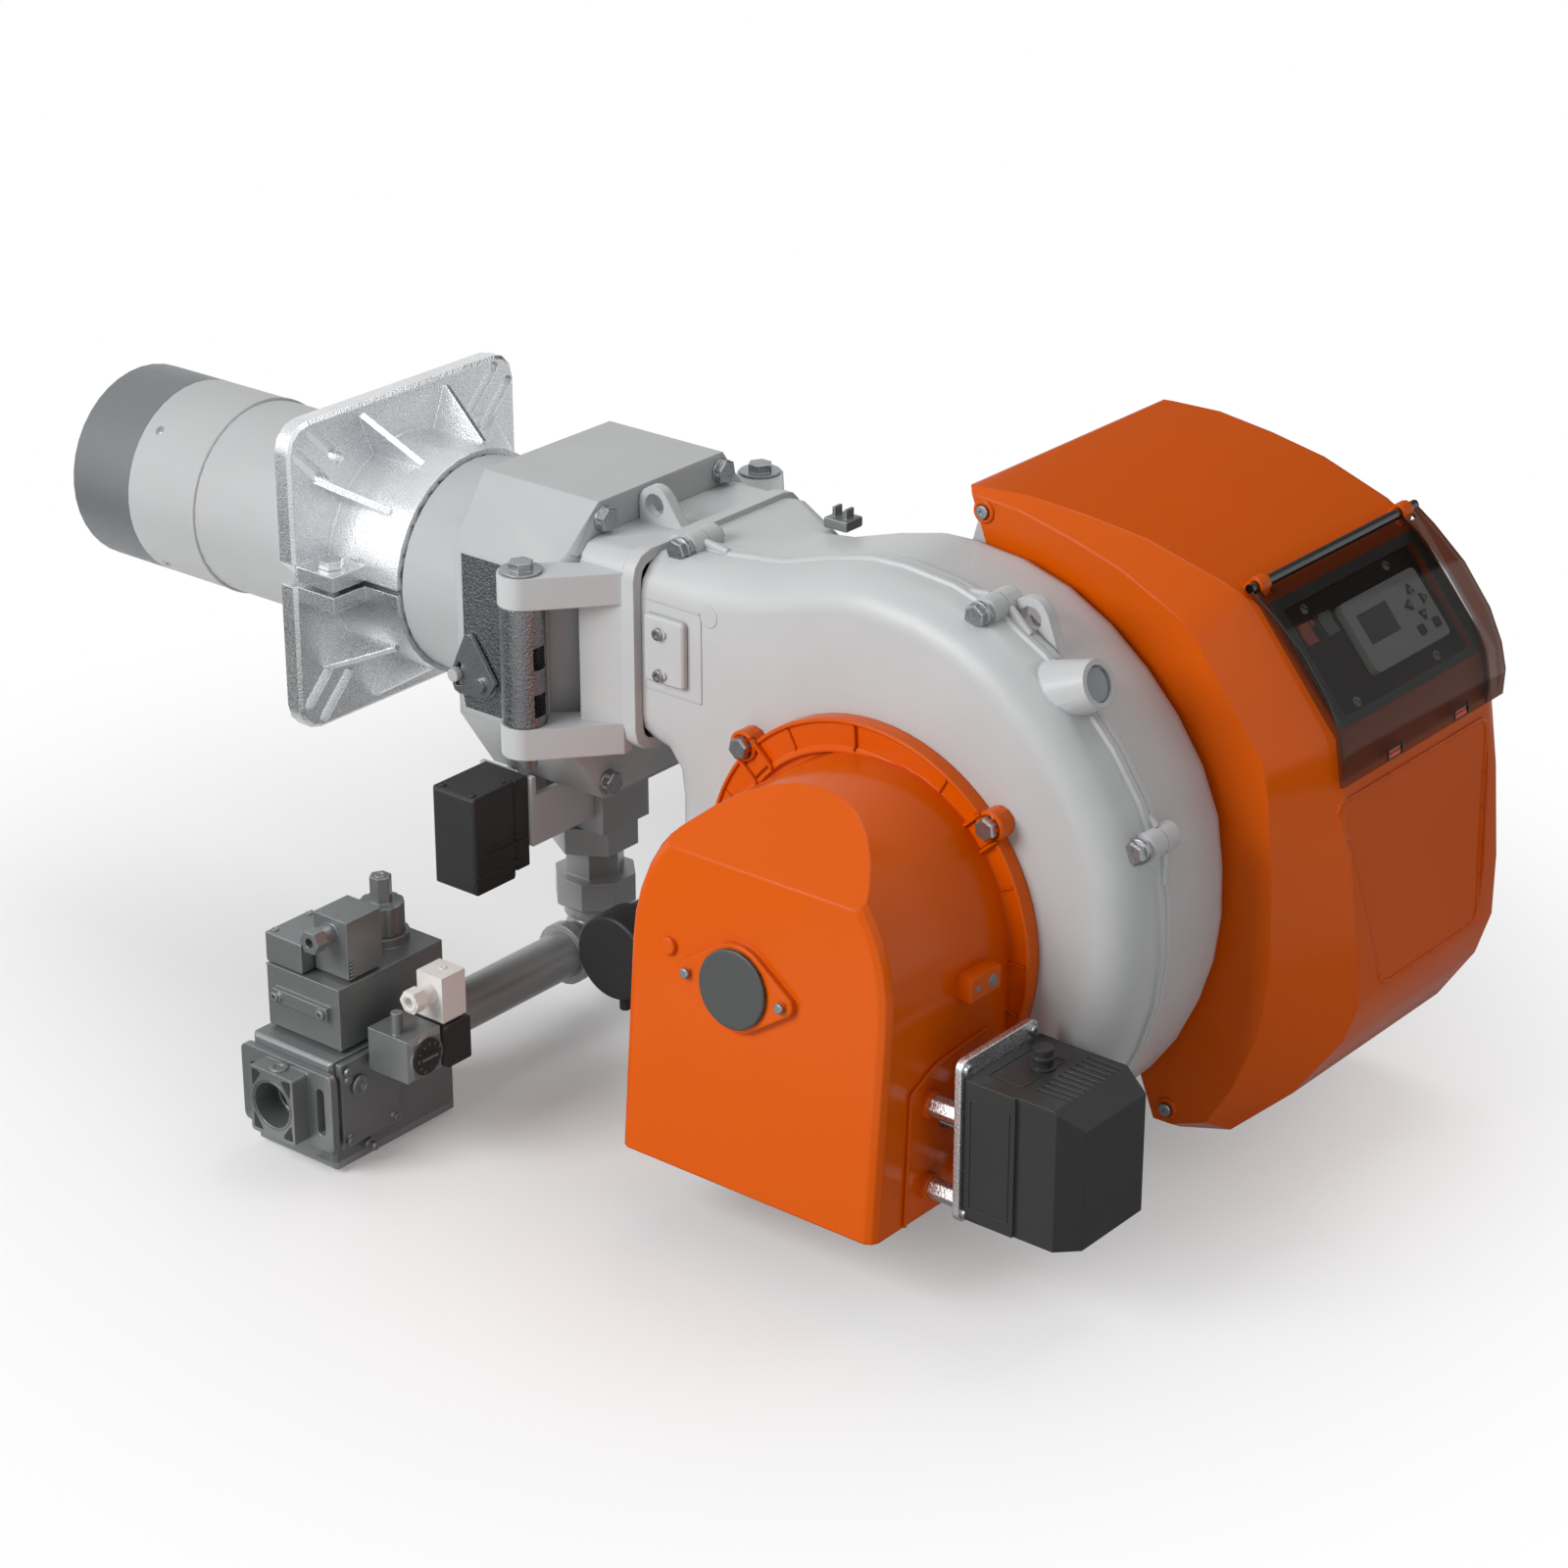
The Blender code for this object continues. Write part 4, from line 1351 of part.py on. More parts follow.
def panel_point(y, u, n):
    return (PANEL_ORIGIN[0] + u * panel_cos + n * panel_sin, y, PANEL_ORIGIN[1] - u * panel_sin + n * panel_cos)


def panel_prism(outline, span):
    return loft([[panel_point(y, u, n) for y, u in outline] for n in span])


def panel_box(y, u, n, radius=0.0):
    outline = round_rect(y, u, radius) if radius else [(y[0], u[0]), (y[1], u[0]), (y[1], u[1]), (y[0], u[1])]
    return panel_prism(outline, n)


# Hood: shell open towards the motor, with a well for the panel and hooks for the lid
hood = hood_skin(0.0, HOOD_BRIM_Y)
hinge_at = LID_HINGE
hook_feet = ((LID_HINGE[0] - 2 * HINGE_HOOK_RADIUS, LID_HINGE[1] - HINGE_HOOK_RADIUS), (LID_HINGE[0] + LAP, LID_HINGE[1] - 2.4 * HINGE_HOOK_RADIUS))
for y in HINGE_HOOKS_Y:
    hook = around(*circle(hinge_at, HINGE_HOOK_RADIUS, 12), *hook_feet)
    joined(hood, prism("Y", hook, (y - HINGE_HOOK_HALF, y + HINGE_HOOK_HALF)))
well_n = (-WELL_DEPTH - HOOD_WALL / 2, -LAP / 2)
cut(hood, hood_skin(HOOD_WALL, HOOD_BRIM_Y + HOOD_WALL))
well = panel_box(grown(BEZEL_WINDOW_Y, WELL_WALL), grown(BEZEL_WINDOW_U, WELL_WALL), well_n)
joined(hood, well)
top_front, bottom_front = HOOD_PROFILE[0][0], HOOD_PROFILE[-1][0]
slant = (Vector(bottom_front) - Vector(top_front)).normalized()
gate_top = Vector(top_front) + slant * HOOD_WALL * 1.6
gate_bottom = Vector(bottom_front) - slant * HOOD_WALL * 1.6
inward = Vector((-slant.y, slant.x)) * HOOD_WALL * 2
gate = [tuple(gate_top + inward), tuple(gate_top - inward), tuple(gate_bottom - inward), tuple(gate_bottom + inward)]
cut(hood, prism("Y", gate, (HOOD_BRIM_Y + HOOD_WALL, HOOD_EDGE - HOOD_WALL)))
brim_depth = (HOOD_BRIM_Y - PAST, HOOD_BRIM_Y + HOOD_WALL + PAST)
cut(hood, rod("Y", HOOD_ARC[0], HOOD_ARC[1], brim_depth, 64))
for foot in HOOD_FEET:
    inner_side = Vector(HOOD_ARC[0]) + (Vector(foot) - Vector(HOOD_ARC[0])) * 0.9
    notch = around(*circle(foot, HOOD_LUG_RADIUS + HOOD_FOOT_PLAY, 16), *circle(tuple(inner_side), HOOD_LUG_RADIUS + HOOD_FOOT_PLAY, 16))
    cut(hood, prism("Y", notch, brim_depth))
cut(hood, panel_box(BEZEL_WINDOW_Y, BEZEL_WINDOW_U, (-WELL_DEPTH - 2 * PAST, 2 * PAST)))
cut(hood, rod("Y", hinge_at, LID_PIN + PLAY, grown(LID_Y, PAST), 12))
skin_x = max(x for (x, _), _ in HOOD_PROFILE)
recess_cut = loft([
    [(recess_x - RECESS_DEPTH, y, z) for (y, z), recess_x in zip(RECESS_FACE, RECESS_X)],
    [(skin_x + PAST, y, z) for y, z in RECESS_FACE],
])
cut(hood, recess_cut)
for at in HOOD_SCREWS:
    joined(hood, rod("Y", at, HOOD_SCREW_HEAD, (HOOD_BRIM_Y - LAP, HOOD_BRIM_Y + LAP), 10))
node("hood", hood, "orange")

bezel = panel_box(BEZEL_Y, BEZEL_U, (PLAY, BEZEL_THICK))
node("panel_bezel", cut(bezel, panel_box(BEZEL_WINDOW_Y, BEZEL_WINDOW_U, (-PAST, BEZEL_THICK + PAST))), "panel_black")
plate = panel_box(grown(BEZEL_WINDOW_Y, -PLAY), grown(BEZEL_WINDOW_U, -PLAY), PLATE_N)
for y, u in ((POWER_Y, POWER_U), (MODE_Y, MODE_U)):
    joined(plate, panel_box(grown(y, SWITCH_FRAME), grown(u, SWITCH_FRAME), (PLATE_N[1] - LAP, PLATE_N[1] + SWITCH_FRAME)))
    cut(plate, panel_box(y, u, (PLATE_N[0] - PAST, PLATE_N[1] + PAST)))
for at in PANEL_SCREWS:
    joined(plate, panel_prism(circle(at, PANEL_SCREW_RADIUS, 10), (PLATE_N[1] - LAP / 2, PLATE_N[1] + LAP / 2)))
joined(plate, panel_prism(circle(LAMP, LAMP_RADIUS, 10), (PLATE_N[1] - LAP / 2, PLATE_N[1] + LAP / 2)))
node("panel_plate", plate, "panel_black")


def rocker(y, u):
    """A dished rocker that turns on a pin along Y at the middle of its window."""
    middle, half = sum(u) / 2, (u[1] - u[0]) / 2 - ROCKER_PLAY
    side = [(-half, ROCKER_N[1]), (0.0, ROCKER_N[1] - ROCKER_DISH), (half, ROCKER_N[1]), (half, PLATE_N[0]), (half * 0.5, ROCKER_N[0]), (-half * 0.5, ROCKER_N[0]), (-half, PLATE_N[0])]
    return loft([[panel_point(across, middle + p, q) for p, q in side] for across in grown(y, -PLAY)])


for name, y, u, look in (("power_switch", POWER_Y, POWER_U, "orange"), ("mode_switch", MODE_Y, MODE_U, "display_grey")):
    node(name, rocker(y, u), look, panel_point(sum(y) / 2, sum(u) / 2, (PLATE_N[0] + PLATE_N[1]) / 2))

display = panel_box(DISPLAY_Y, DISPLAY_U, DISPLAY_N, SWITCH_FRAME * 3)
cut(display, panel_box(SCREEN_Y, SCREEN_U, (DISPLAY_N[1] - SCREEN_DEPTH, DISPLAY_N[1] + PAST)))
pocket = KEY_N[0] - KEY_TRAVEL - PLAY
keys = []
for title, y, u, heading in ARROW_KEYS:
    steps = [math.radians(-heading + 120 * k) for k in range(3)]
    keys.append((title + "_key", (y, u), lambda grow, y=y, u=u, steps=steps: [(y + (ARROW_SIZE + 2 * grow) * math.cos(a), u + (ARROW_SIZE + 2 * grow) * math.sin(a)) for a in steps]))
for title, y, u in SMALL_KEYS:
    keys.append((title + "_key", (y, u), lambda grow, y=y, u=u: round_rect(grown((y, y), SMALL_KEY_HALF + grow), grown((u, u), SMALL_KEY_HALF + grow), SMALL_KEY_HALF / 3)))
for title, at, outline in keys:
    cut(display, panel_prism(outline(KEY_PLAY), (pocket, DISPLAY_N[1] + PAST)))
node("display_unit", display, "display_grey")
for title, at, outline in keys:
    node(title, panel_prism(outline(0.0), KEY_N), "key_dark", panel_point(*at, KEY_N[1]))

# Smoked lid on its hinge pin
lid_inner = offset(list(LID_PROFILE) + list(LID_FOOT), -LID_WALL)[: len(LID_PROFILE)]
lid_inner = [(x - PAST / 3, z) if z < LID_PROFILE[-1][1] + 2 * PAST else (x, z) for x, z in lid_inner]
deep_foot = [(x - 4 * PAST * panel_sin, z - 4 * PAST * panel_cos) for x, z in LID_FOOT]
lid = prism("Y", list(LID_PROFILE) + list(LID_FOOT), LID_Y)
cut(lid, prism("Y", [p for p in lid_inner] + deep_foot, grown(LID_Y, -LID_WALL)))
for y in HINGE_HOOKS_Y:
    cut(lid, rod("Y", hinge_at, HINGE_HOOK_RADIUS + 2 * LAP, (y - HINGE_HOOK_HALF - PLAY * 2, y + HINGE_HOOK_HALF + PLAY * 2), 16))
joined(lid, rod("Y", hinge_at, LID_PIN, LID_Y, 12))
node("panel_lid", lid, "smoked", (LID_HINGE[0], sum(LID_Y) / 2, LID_HINGE[1]))

# Electrical plate behind the panel, with contactors and a foot on the housing
board = box(BOARD_X, (BOARD_Y[0], BOARD_Y[1]), BOARD_Z)
joined(board, box((BOARD_X[0] - BOARD_FOOT, BOARD_X[1]), (BOARD_Y[0], BOARD_Y[0] + HOUSING_WALL), (BOARD_Z[0], BOARD_Z[1] - BOARD_FOOT)))
for y, z in CONTACTORS:
    joined(board, box((BOARD_X[1] - LAP, BOARD_X[1] + CONTACTOR_X), y, z, LAP, "X"))
node("electrical_plate", board, "display_grey")
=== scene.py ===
"""An industrial gas burner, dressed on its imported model: the camera and the stage first, then the burner piece by
piece from the boiler's side to the control panel."""

import json
import math
import bmesh
import bpy
from mathutils import Matrix, Vector
from mathutils.bvhtree import BVHTree


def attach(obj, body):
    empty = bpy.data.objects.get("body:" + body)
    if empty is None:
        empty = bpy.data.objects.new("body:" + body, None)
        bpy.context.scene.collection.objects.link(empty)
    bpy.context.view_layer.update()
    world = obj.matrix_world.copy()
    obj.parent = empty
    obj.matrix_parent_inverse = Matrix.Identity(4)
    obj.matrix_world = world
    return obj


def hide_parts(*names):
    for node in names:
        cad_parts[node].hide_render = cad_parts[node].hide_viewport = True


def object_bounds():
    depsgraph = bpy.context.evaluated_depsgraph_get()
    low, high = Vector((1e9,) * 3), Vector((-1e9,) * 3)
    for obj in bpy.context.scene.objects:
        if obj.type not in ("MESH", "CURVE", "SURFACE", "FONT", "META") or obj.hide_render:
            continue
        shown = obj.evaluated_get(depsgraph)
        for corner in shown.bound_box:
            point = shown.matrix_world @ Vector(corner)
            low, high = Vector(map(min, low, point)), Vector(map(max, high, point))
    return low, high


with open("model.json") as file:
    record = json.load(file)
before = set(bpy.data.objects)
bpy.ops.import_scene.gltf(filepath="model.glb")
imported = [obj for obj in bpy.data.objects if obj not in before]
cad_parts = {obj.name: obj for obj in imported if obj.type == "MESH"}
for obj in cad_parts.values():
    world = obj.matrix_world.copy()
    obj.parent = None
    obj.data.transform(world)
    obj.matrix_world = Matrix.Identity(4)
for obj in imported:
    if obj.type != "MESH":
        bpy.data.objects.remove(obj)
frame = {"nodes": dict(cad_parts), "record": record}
solid_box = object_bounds()

# The studio: a pale floor that runs out into white, soft lamps above the left and the right, and dark cards outside
# the picture that only gloss and bright metal reflect.
LOOKS_FROM = Vector((2.3380, -2.3324, 1.2352))
AROUND, DOWN = math.radians(39.1312), math.radians(24.1739)
LENS, SENSOR, CLIP_END = 91.37, 36, 60
along = Vector((-math.sin(AROUND) * math.cos(DOWN), math.cos(AROUND) * math.cos(DOWN), -math.sin(DOWN)))
eye = bpy.data.objects.new("camera", bpy.data.cameras.new("camera"))
eye.data.lens, eye.data.sensor_width, eye.data.clip_end = LENS, SENSOR, CLIP_END
eye.location = LOOKS_FROM
eye.rotation_euler = along.to_track_quat("-Z", "Y").to_euler()
bpy.context.collection.objects.link(eye)
scene = bpy.context.scene
scene.camera = eye
scene.view_settings.view_transform = "Standard"

MIDDLE = Vector((0.30, 0.02, -0.08))
LAMPS = (("left_softbox", (-0.5, -2.7, 1.6), (1.9, 1.5), 84),
         ("right_softbox", (2.6, -0.5, 1.2), (1.2, 1.6), 3),
         ("top_softbox", (0.5, 1.2, 2.7), (2.2, 1.4), 25))
for lamp_name, place, size, watts in LAMPS:
    lamp = bpy.data.objects.new(lamp_name, bpy.data.lights.new(lamp_name, "AREA"))
    lamp.data.shape, lamp.data.size, lamp.data.size_y, lamp.data.energy = "RECTANGLE", *size, watts
    lamp.location = place
    lamp.rotation_euler = (MIDDLE - Vector(place)).to_track_quat("-Z", "Y").to_euler()
    bpy.context.collection.objects.link(lamp)


def add_node(tree, kind, values=None, **settings):
    """a new node with its properties and its sockets' values set"""
    made = tree.nodes.new(kind)
    for key, value in settings.items():
        setattr(made, key, value)
    for key, value in (values or {}).items():
        made.inputs[key].default_value = value
    return made


def join(tree, pairs):
    """links from each output to its input"""
    for source, taker in pairs:
        tree.links.new(source, taker)


def span(from_min, from_max, to_min, to_max):
    """the four values of a node that maps one range to another"""
    return {"From Min": from_min, "From Max": from_max, "To Min": to_min, "To Max": to_max}


def plain(name, values):
    """a material that is no more than uniform values on its shader"""
    made = bpy.data.materials.new(name)
    made.use_nodes = True
    for key, value in values.items():
        made.node_tree.nodes["Principled BSDF"].inputs[key].default_value = value
    return made


def sheet(name, place, size, faces, look):
    """a flat square of the stage, facing a direction"""
    grid = bmesh.new()
    bmesh.ops.create_grid(grid, x_segments=2, y_segments=2, size=size)
    turn = Vector(faces).to_track_quat("Z", "Y").to_matrix().to_4x4()
    bmesh.ops.transform(grid, matrix=Matrix.Translation(place) @ turn, verts=grid.verts)
    mesh = bpy.data.meshes.new(name)
    grid.to_mesh(mesh)
    grid.free()
    mesh.materials.append(look)
    made = bpy.data.objects.new(name, mesh)
    bpy.context.collection.objects.link(made)
    return made


DIFFUSE_SKY = 0.27
room = bpy.data.worlds.new("room")
scene.world = room
room.use_nodes = True
tree = room.node_tree
sky = tree.nodes["Background"]
sky.inputs["Color"].default_value = (1, 1, 1, 1)
ray = add_node(tree, "ShaderNodeLightPath")
view_or_glass = add_node(tree, "ShaderNodeMath", operation="MAXIMUM")
any_view = add_node(tree, "ShaderNodeMath", operation="MAXIMUM")
brightness = add_node(tree, "ShaderNodeMapRange", span(0.0, 1.0, DIFFUSE_SKY, 1.0))
join(tree, ((ray.outputs["Is Camera Ray"], view_or_glass.inputs[0]),
            (ray.outputs["Is Transmission Ray"], view_or_glass.inputs[1]),
            (view_or_glass.outputs[0], any_view.inputs[0]),
            (ray.outputs["Is Glossy Ray"], any_view.inputs[1]),
            (any_view.outputs[0], brightness.inputs["Value"]),
            (brightness.outputs[0], sky.inputs["Strength"])))

FLOOR_GAP, FLOOR_REACH, FLOOR_GREY = 0.004, 7.0, 0.86
FADE_FROM, FADE_TO, FADE_LEAST = 0.25, 1.05, 0.16
paper = bpy.data.materials.new("white_floor")
paper.use_nodes = True
tree = paper.node_tree
tree.nodes.remove(tree.nodes["Principled BSDF"])
lit = add_node(tree, "ShaderNodeBsdfDiffuse", {"Color": (FLOOR_GREY, FLOOR_GREY, FLOOR_GREY, 1)})
white = add_node(tree, "ShaderNodeEmission")
where = add_node(tree, "ShaderNodeTexCoord")
centred = add_node(tree, "ShaderNodeVectorMath", {1: MIDDLE}, operation="SUBTRACT")
flat = add_node(tree, "ShaderNodeVectorMath", {1: (1, 1, 0)}, operation="MULTIPLY")
far = add_node(tree, "ShaderNodeVectorMath", operation="LENGTH")
fade = add_node(tree, "ShaderNodeMapRange", span(FADE_FROM, FADE_TO, FADE_LEAST, 1.0),
                interpolation_type="SMOOTHSTEP")
ray = add_node(tree, "ShaderNodeLightPath")
bare_view = add_node(tree, "ShaderNodeMath", operation="MAXIMUM")
only_seen = add_node(tree, "ShaderNodeMath", operation="MULTIPLY")
mix = add_node(tree, "ShaderNodeMixShader")
join(tree, ((where.outputs["Object"], centred.inputs[0]), (centred.outputs[0], flat.inputs[0]),
            (flat.outputs[0], far.inputs[0]), (far.outputs["Value"], fade.inputs["Value"]),
            (ray.outputs["Is Camera Ray"], bare_view.inputs[0]), (ray.outputs["Is Glossy Ray"], bare_view.inputs[1]),
            (fade.outputs[0], only_seen.inputs[0]), (bare_view.outputs[0], only_seen.inputs[1]),
            (only_seen.outputs[0], mix.inputs[0]), (lit.outputs[0], mix.inputs[1]), (white.outputs[0], mix.inputs[2]),
            (mix.outputs[0], tree.nodes["Material Output"].inputs[0])))
sheet("floor", (MIDDLE.x, MIDDLE.y, solid_box[0][2] - FLOOR_GAP), FLOOR_REACH, (0, 0, 1), paper)

DARK_CARDS = (("dark_card_low", (-0.62, -1.05, -0.372), 0.78, (0, 0, 1), 0.0),
              ("dark_card_right", (3.2, 0.3, -0.5), 1.1, (-1, 0, 0.2), 0.0),
              ("dark_card_under", (0.80, -0.08, -0.372), 0.55, (0, 0, 1), 0.16),
              ("dark_card_beside", (1.28, 0.86, -0.372), 0.5, (0, 0, 1), 0.16),
              ("dark_card_back", (0.25, 2.45, 1.55), 1.6, (0, -1, -0.4), 0.05))
for card_name, place, size, faces, glow in DARK_CARDS:
    black = plain("black_card", {"Base Color": (0.02, 0.02, 0.02, 1), "Emission Color": (1, 1, 1, 1),
                                 "Emission Strength": glow})
    card = sheet(card_name, place, size, faces, black)
    card.visible_camera = card.visible_diffuse = card.visible_shadow = False

# The mounting flange: two halves of rough, bright cast aluminium, each a plate on half a collar with gussets
# between, drawn together on the tube by a bolt through a pair of lugs on each side.
bodies = {node: body for body, nodes in frame["record"]["behaviour"]["bodies"].items() for node in nodes}
MERGE = 0.000004
FLAT = math.radians(0.7)
NOISE = (0.3, 0.7)


def linear(red, green, blue):
    """a colour as a screen shows it, made linear"""
    return tuple((c / 255 / 12.92) if c <= 10 else ((c / 255 + 0.055) / 1.055) ** 2.4
                 for c in (red, green, blue)) + (1,)


def scaled(colour, factor, lift=0.0):
    """a colour made lighter or darker"""
    return tuple(min(1, c * factor + lift) for c in colour[:3]) + (1,)


def surface(name, colour, roughness, grain=900, depth=0.00004, metallic=0.0, coat=0.0, mottle=0.05, edge=0.0,
            rounding=0.0009, spread=0.07, cloud=14, specular=0.5):
    """a painted, moulded or bare finish: grain as bump, cloudy colour, uneven roughness, and, set by edge, a painted
    highlight that makes the colour lighter along rounded edges"""
    made = plain(name, {"Metallic": metallic, "Coat Weight": coat, "Coat Roughness": 0.08,
                        "Specular IOR Level": specular})
    tree = made.node_tree
    shader = tree.nodes["Principled BSDF"]
    where = add_node(tree, "ShaderNodeTexCoord")
    fine = add_node(tree, "ShaderNodeTexNoise", {"Scale": grain, "Detail": 3})
    broad = add_node(tree, "ShaderNodeTexNoise", {"Scale": cloud, "Detail": 5})
    round_edge = add_node(tree, "ShaderNodeBevel", {"Radius": rounding}, samples=4)
    bump = add_node(tree, "ShaderNodeBump", {"Strength": 1.0, "Distance": depth})
    tone = add_node(tree, "ShaderNodeMapRange", span(*NOISE, 0.0, 1.0))
    tint = add_node(tree, "ShaderNodeMix", {"A": scaled(colour, 1 - mottle), "B": scaled(colour, 1 + mottle)},
                    data_type="RGBA")
    shine = add_node(tree, "ShaderNodeMapRange", span(*NOISE, max(0.03, roughness - spread), roughness + spread))
    join(tree, ((where.outputs["Object"], fine.inputs["Vector"]), (where.outputs["Object"], broad.inputs["Vector"]),
                (fine.outputs["Fac"], bump.inputs["Height"]), (round_edge.outputs[0], bump.inputs["Normal"]),
                (bump.outputs[0], shader.inputs["Normal"]), (broad.outputs["Fac"], tone.inputs["Value"]),
                (tone.outputs[0], tint.inputs["Factor"]), (fine.outputs["Fac"], shine.inputs["Value"]),
                (shine.outputs[0], shader.inputs["Roughness"])))
    # Painted highlight: where the rounded shading normal turns away from the true face, the colour is made lighter
    if edge:
        bare = add_node(tree, "ShaderNodeNewGeometry")
        agree = add_node(tree, "ShaderNodeVectorMath", operation="DOT_PRODUCT")
        painted_edge_highlight = add_node(tree, "ShaderNodeMapRange", span(0.985, 0.90, 0.0, edge))
        lighter = add_node(tree, "ShaderNodeMix", {"B": scaled(colour, 1.4, 0.05)}, data_type="RGBA")
        join(tree, ((round_edge.outputs[0], agree.inputs[0]), (bare.outputs["Normal"], agree.inputs[1]),
                    (agree.outputs["Value"], painted_edge_highlight.inputs["Value"]), (painted_edge_highlight.outputs[0], lighter.inputs["Factor"]),
                    (tint.outputs["Result"], lighter.inputs["A"]),
                    (lighter.outputs["Result"], shader.inputs["Base Color"])))
    else:
        join(tree, ((tint.outputs["Result"], shader.inputs["Base Color"]),))
    return made


def taken(node, joined=True):
    """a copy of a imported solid's mesh, its points merged and its flat faces joined"""
    b = bmesh.new()
    b.from_mesh(frame["nodes"][node].data)
    bmesh.ops.remove_doubles(b, verts=b.verts, dist=MERGE)
    if joined:
        bmesh.ops.dissolve_limit(b, angle_limit=FLAT, verts=b.verts, edges=b.edges, use_dissolve_boundaries=False)
    return b


def finished(b, name, body, looks, sharp=32, stands_for=()):
    """the bmesh as a piece of the burner, smooth but for its sharp edges"""
    mesh = bpy.data.meshes.new(name)
    bmesh.ops.triangulate(b, faces=[f for f in b.faces if len(f.verts) > 4])
    b.to_mesh(mesh)
    b.free()
    for look in looks:
        mesh.materials.append(look)
    mesh.shade_smooth()
    mesh.set_sharp_from_angle(angle=math.radians(sharp))
    piece = bpy.data.objects.new(name, mesh)
    bpy.context.collection.objects.link(piece)
    weighed = piece.modifiers.new("weighed", "WEIGHTED_NORMAL")
    weighed.keep_sharp = True
    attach(piece, body)
    if stands_for:
        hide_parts(*stands_for)
    return piece


def bevelled(b, edges, width, segments):
    """rounds some edges by a width"""
    bmesh.ops.bevel(b, geom=edges, offset=width, offset_type="OFFSET", segments=segments, profile=0.5, affect="EDGES",
                    clamp_overlap=True, material=-1)


def rounded(b, width, angle=40, segments=2):
    """bevels the sharp edges of a plain shape"""
    bevelled(b, [e for e in b.edges if e.is_manifold and e.calc_face_angle(0) > math.radians(angle)], width, segments)


def dressed(node, look, round_by=0.0, sharp=32, angle=40, segments=2):
    """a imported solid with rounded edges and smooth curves, in its real finish"""
    b = taken(node, bool(round_by))
    if round_by:
        rounded(b, round_by, angle, segments)
    return finished(b, node + "_skin", bodies[node], [look], sharp, [node])


bright_casting = surface("rough_bright_casting", linear(218, 220, 222), 0.31, grain=620, depth=0.0004, metallic=0.95,
                         mottle=0.07, edge=0.5, rounding=0.0014, spread=0.14)
dressed("flange_upper_half", bright_casting, 0.0009)
dressed("flange_lower_half", bright_casting, 0.0009)

# The blast tube: rolled steel, painted light grey to the sleeve's end, its head of bare heat-resisting steel, held
# by flush countersunk screws; one seam shows where the sleeve ends. The directions name the burner's own sides.
TUBE_SKIN, SLEEVE_SKIN, SLEEVE_END, TUBE_SCREW_X = 0.0885, 0.090, -0.163, -0.2295
FRONT, NEAR, UP = (1, 0, 0), (0, -1, 0), (0, 0, 1)
tube_paint = surface("tube_paint", linear(179, 180, 181), 0.40, grain=500, depth=0.00002, mottle=0.025, edge=0.3)
dressed("blast_tube", tube_paint, 0.0003, sharp=34)
heat_steel = surface("heat_resisting_steel", linear(116, 120, 122), 0.42, grain=320, depth=0.00001, metallic=0.25,
                     mottle=0.03, edge=0.2, cloud=9, specular=0.3)
dressed("tube_tip", heat_steel, 0.0003, sharp=34)
zinc_finish = surface("zinc_plate", linear(150, 153, 156), 0.30, grain=420, depth=0.00003, metallic=0.85, mottle=0.10,
                      edge=0.5, rounding=0.0005)


def spoke(degrees, flat_axis):
    """the direction at an angle round the X axis (0) or the Y axis (1)"""
    a = math.radians(degrees)
    return Vector((0, math.cos(a), math.sin(a)) if flat_axis == 0 else (math.cos(a), 0, math.sin(a)))


def aimed(point, toward, turn=0.0):
    """the matrix that puts a shape built along +Z at a point, facing a direction"""
    facing = Vector(toward).to_track_quat("Z", "Y").to_matrix().to_4x4()
    return Matrix.Translation(point) @ facing @ Matrix.Rotation(turn, 4, "Z")


def turned(b, point, toward, profile, steps=28, turn=0.0):
    """a lathe-turned shape from its outline of (radius, height), set at a point and facing a direction"""
    before = set(b.verts)
    rim = [b.verts.new((radius, 0, height)) for radius, height in profile]
    lines = [b.edges.new(pair) for pair in zip(rim, rim[1:])]
    bmesh.ops.spin(b, geom=rim + lines, cent=(0, 0, 0), axis=(0, 0, 1), angle=2 * math.pi, steps=steps, use_merge=True)
    made = [v for v in b.verts if v not in before]
    bmesh.ops.remove_doubles(b, verts=made, dist=MERGE)
    made = [v for v in b.verts if v not in before]
    bmesh.ops.recalc_face_normals(b, faces=list({f for v in made for f in v.link_faces}))
    bmesh.ops.transform(b, matrix=aimed(point, toward, turn), verts=made)
    return made


def screw(b, point, toward, radius, height, socket_share=0.5, sides=6, turn=0.3):
    """a round screw head, its edge rolled over, with a socket of so many sides pressed into it"""
    outline = ((radius, -height * 0.3), (radius, height * 0.6), (radius * 0.93, height * 0.88), (radius * 0.8, height),
               (radius * socket_share, height))
    made = turned(b, (0, 0, 0), UP, outline, 24)
    lip = [e for v in made for e in v.link_edges
           if e.is_boundary and all(abs(w.co.z - height) < MERGE for w in e.verts)]
    down = bmesh.ops.extrude_edge_only(b, edges=list(set(lip)))["geom"]
    low = {v for v in down if isinstance(v, bmesh.types.BMVert)}
    step = math.pi / sides
    for v in low:
        off = math.atan2(v.co.y, v.co.x) % (2 * step) - step
        v.co.xy = v.co.xy.normalized() * radius * socket_share * math.cos(step) / math.cos(off)
    mouth = [e for e in down if isinstance(e, bmesh.types.BMEdge) and set(e.verts) <= low]
    walls = bmesh.ops.extrude_edge_only(b, edges=mouth)["geom"]
    bottom = {v for v in walls if isinstance(v, bmesh.types.BMVert)}
    bmesh.ops.translate(b, verts=list(bottom), vec=(0, 0, -height * 0.6))
    ring = [e for e in walls if isinstance(e, bmesh.types.BMEdge) and set(e.verts) <= bottom]
    bmesh.ops.contextual_create(b, geom=ring)
    bmesh.ops.transform(b, matrix=aimed(point, toward, turn), verts=list(set(made) | low | bottom))


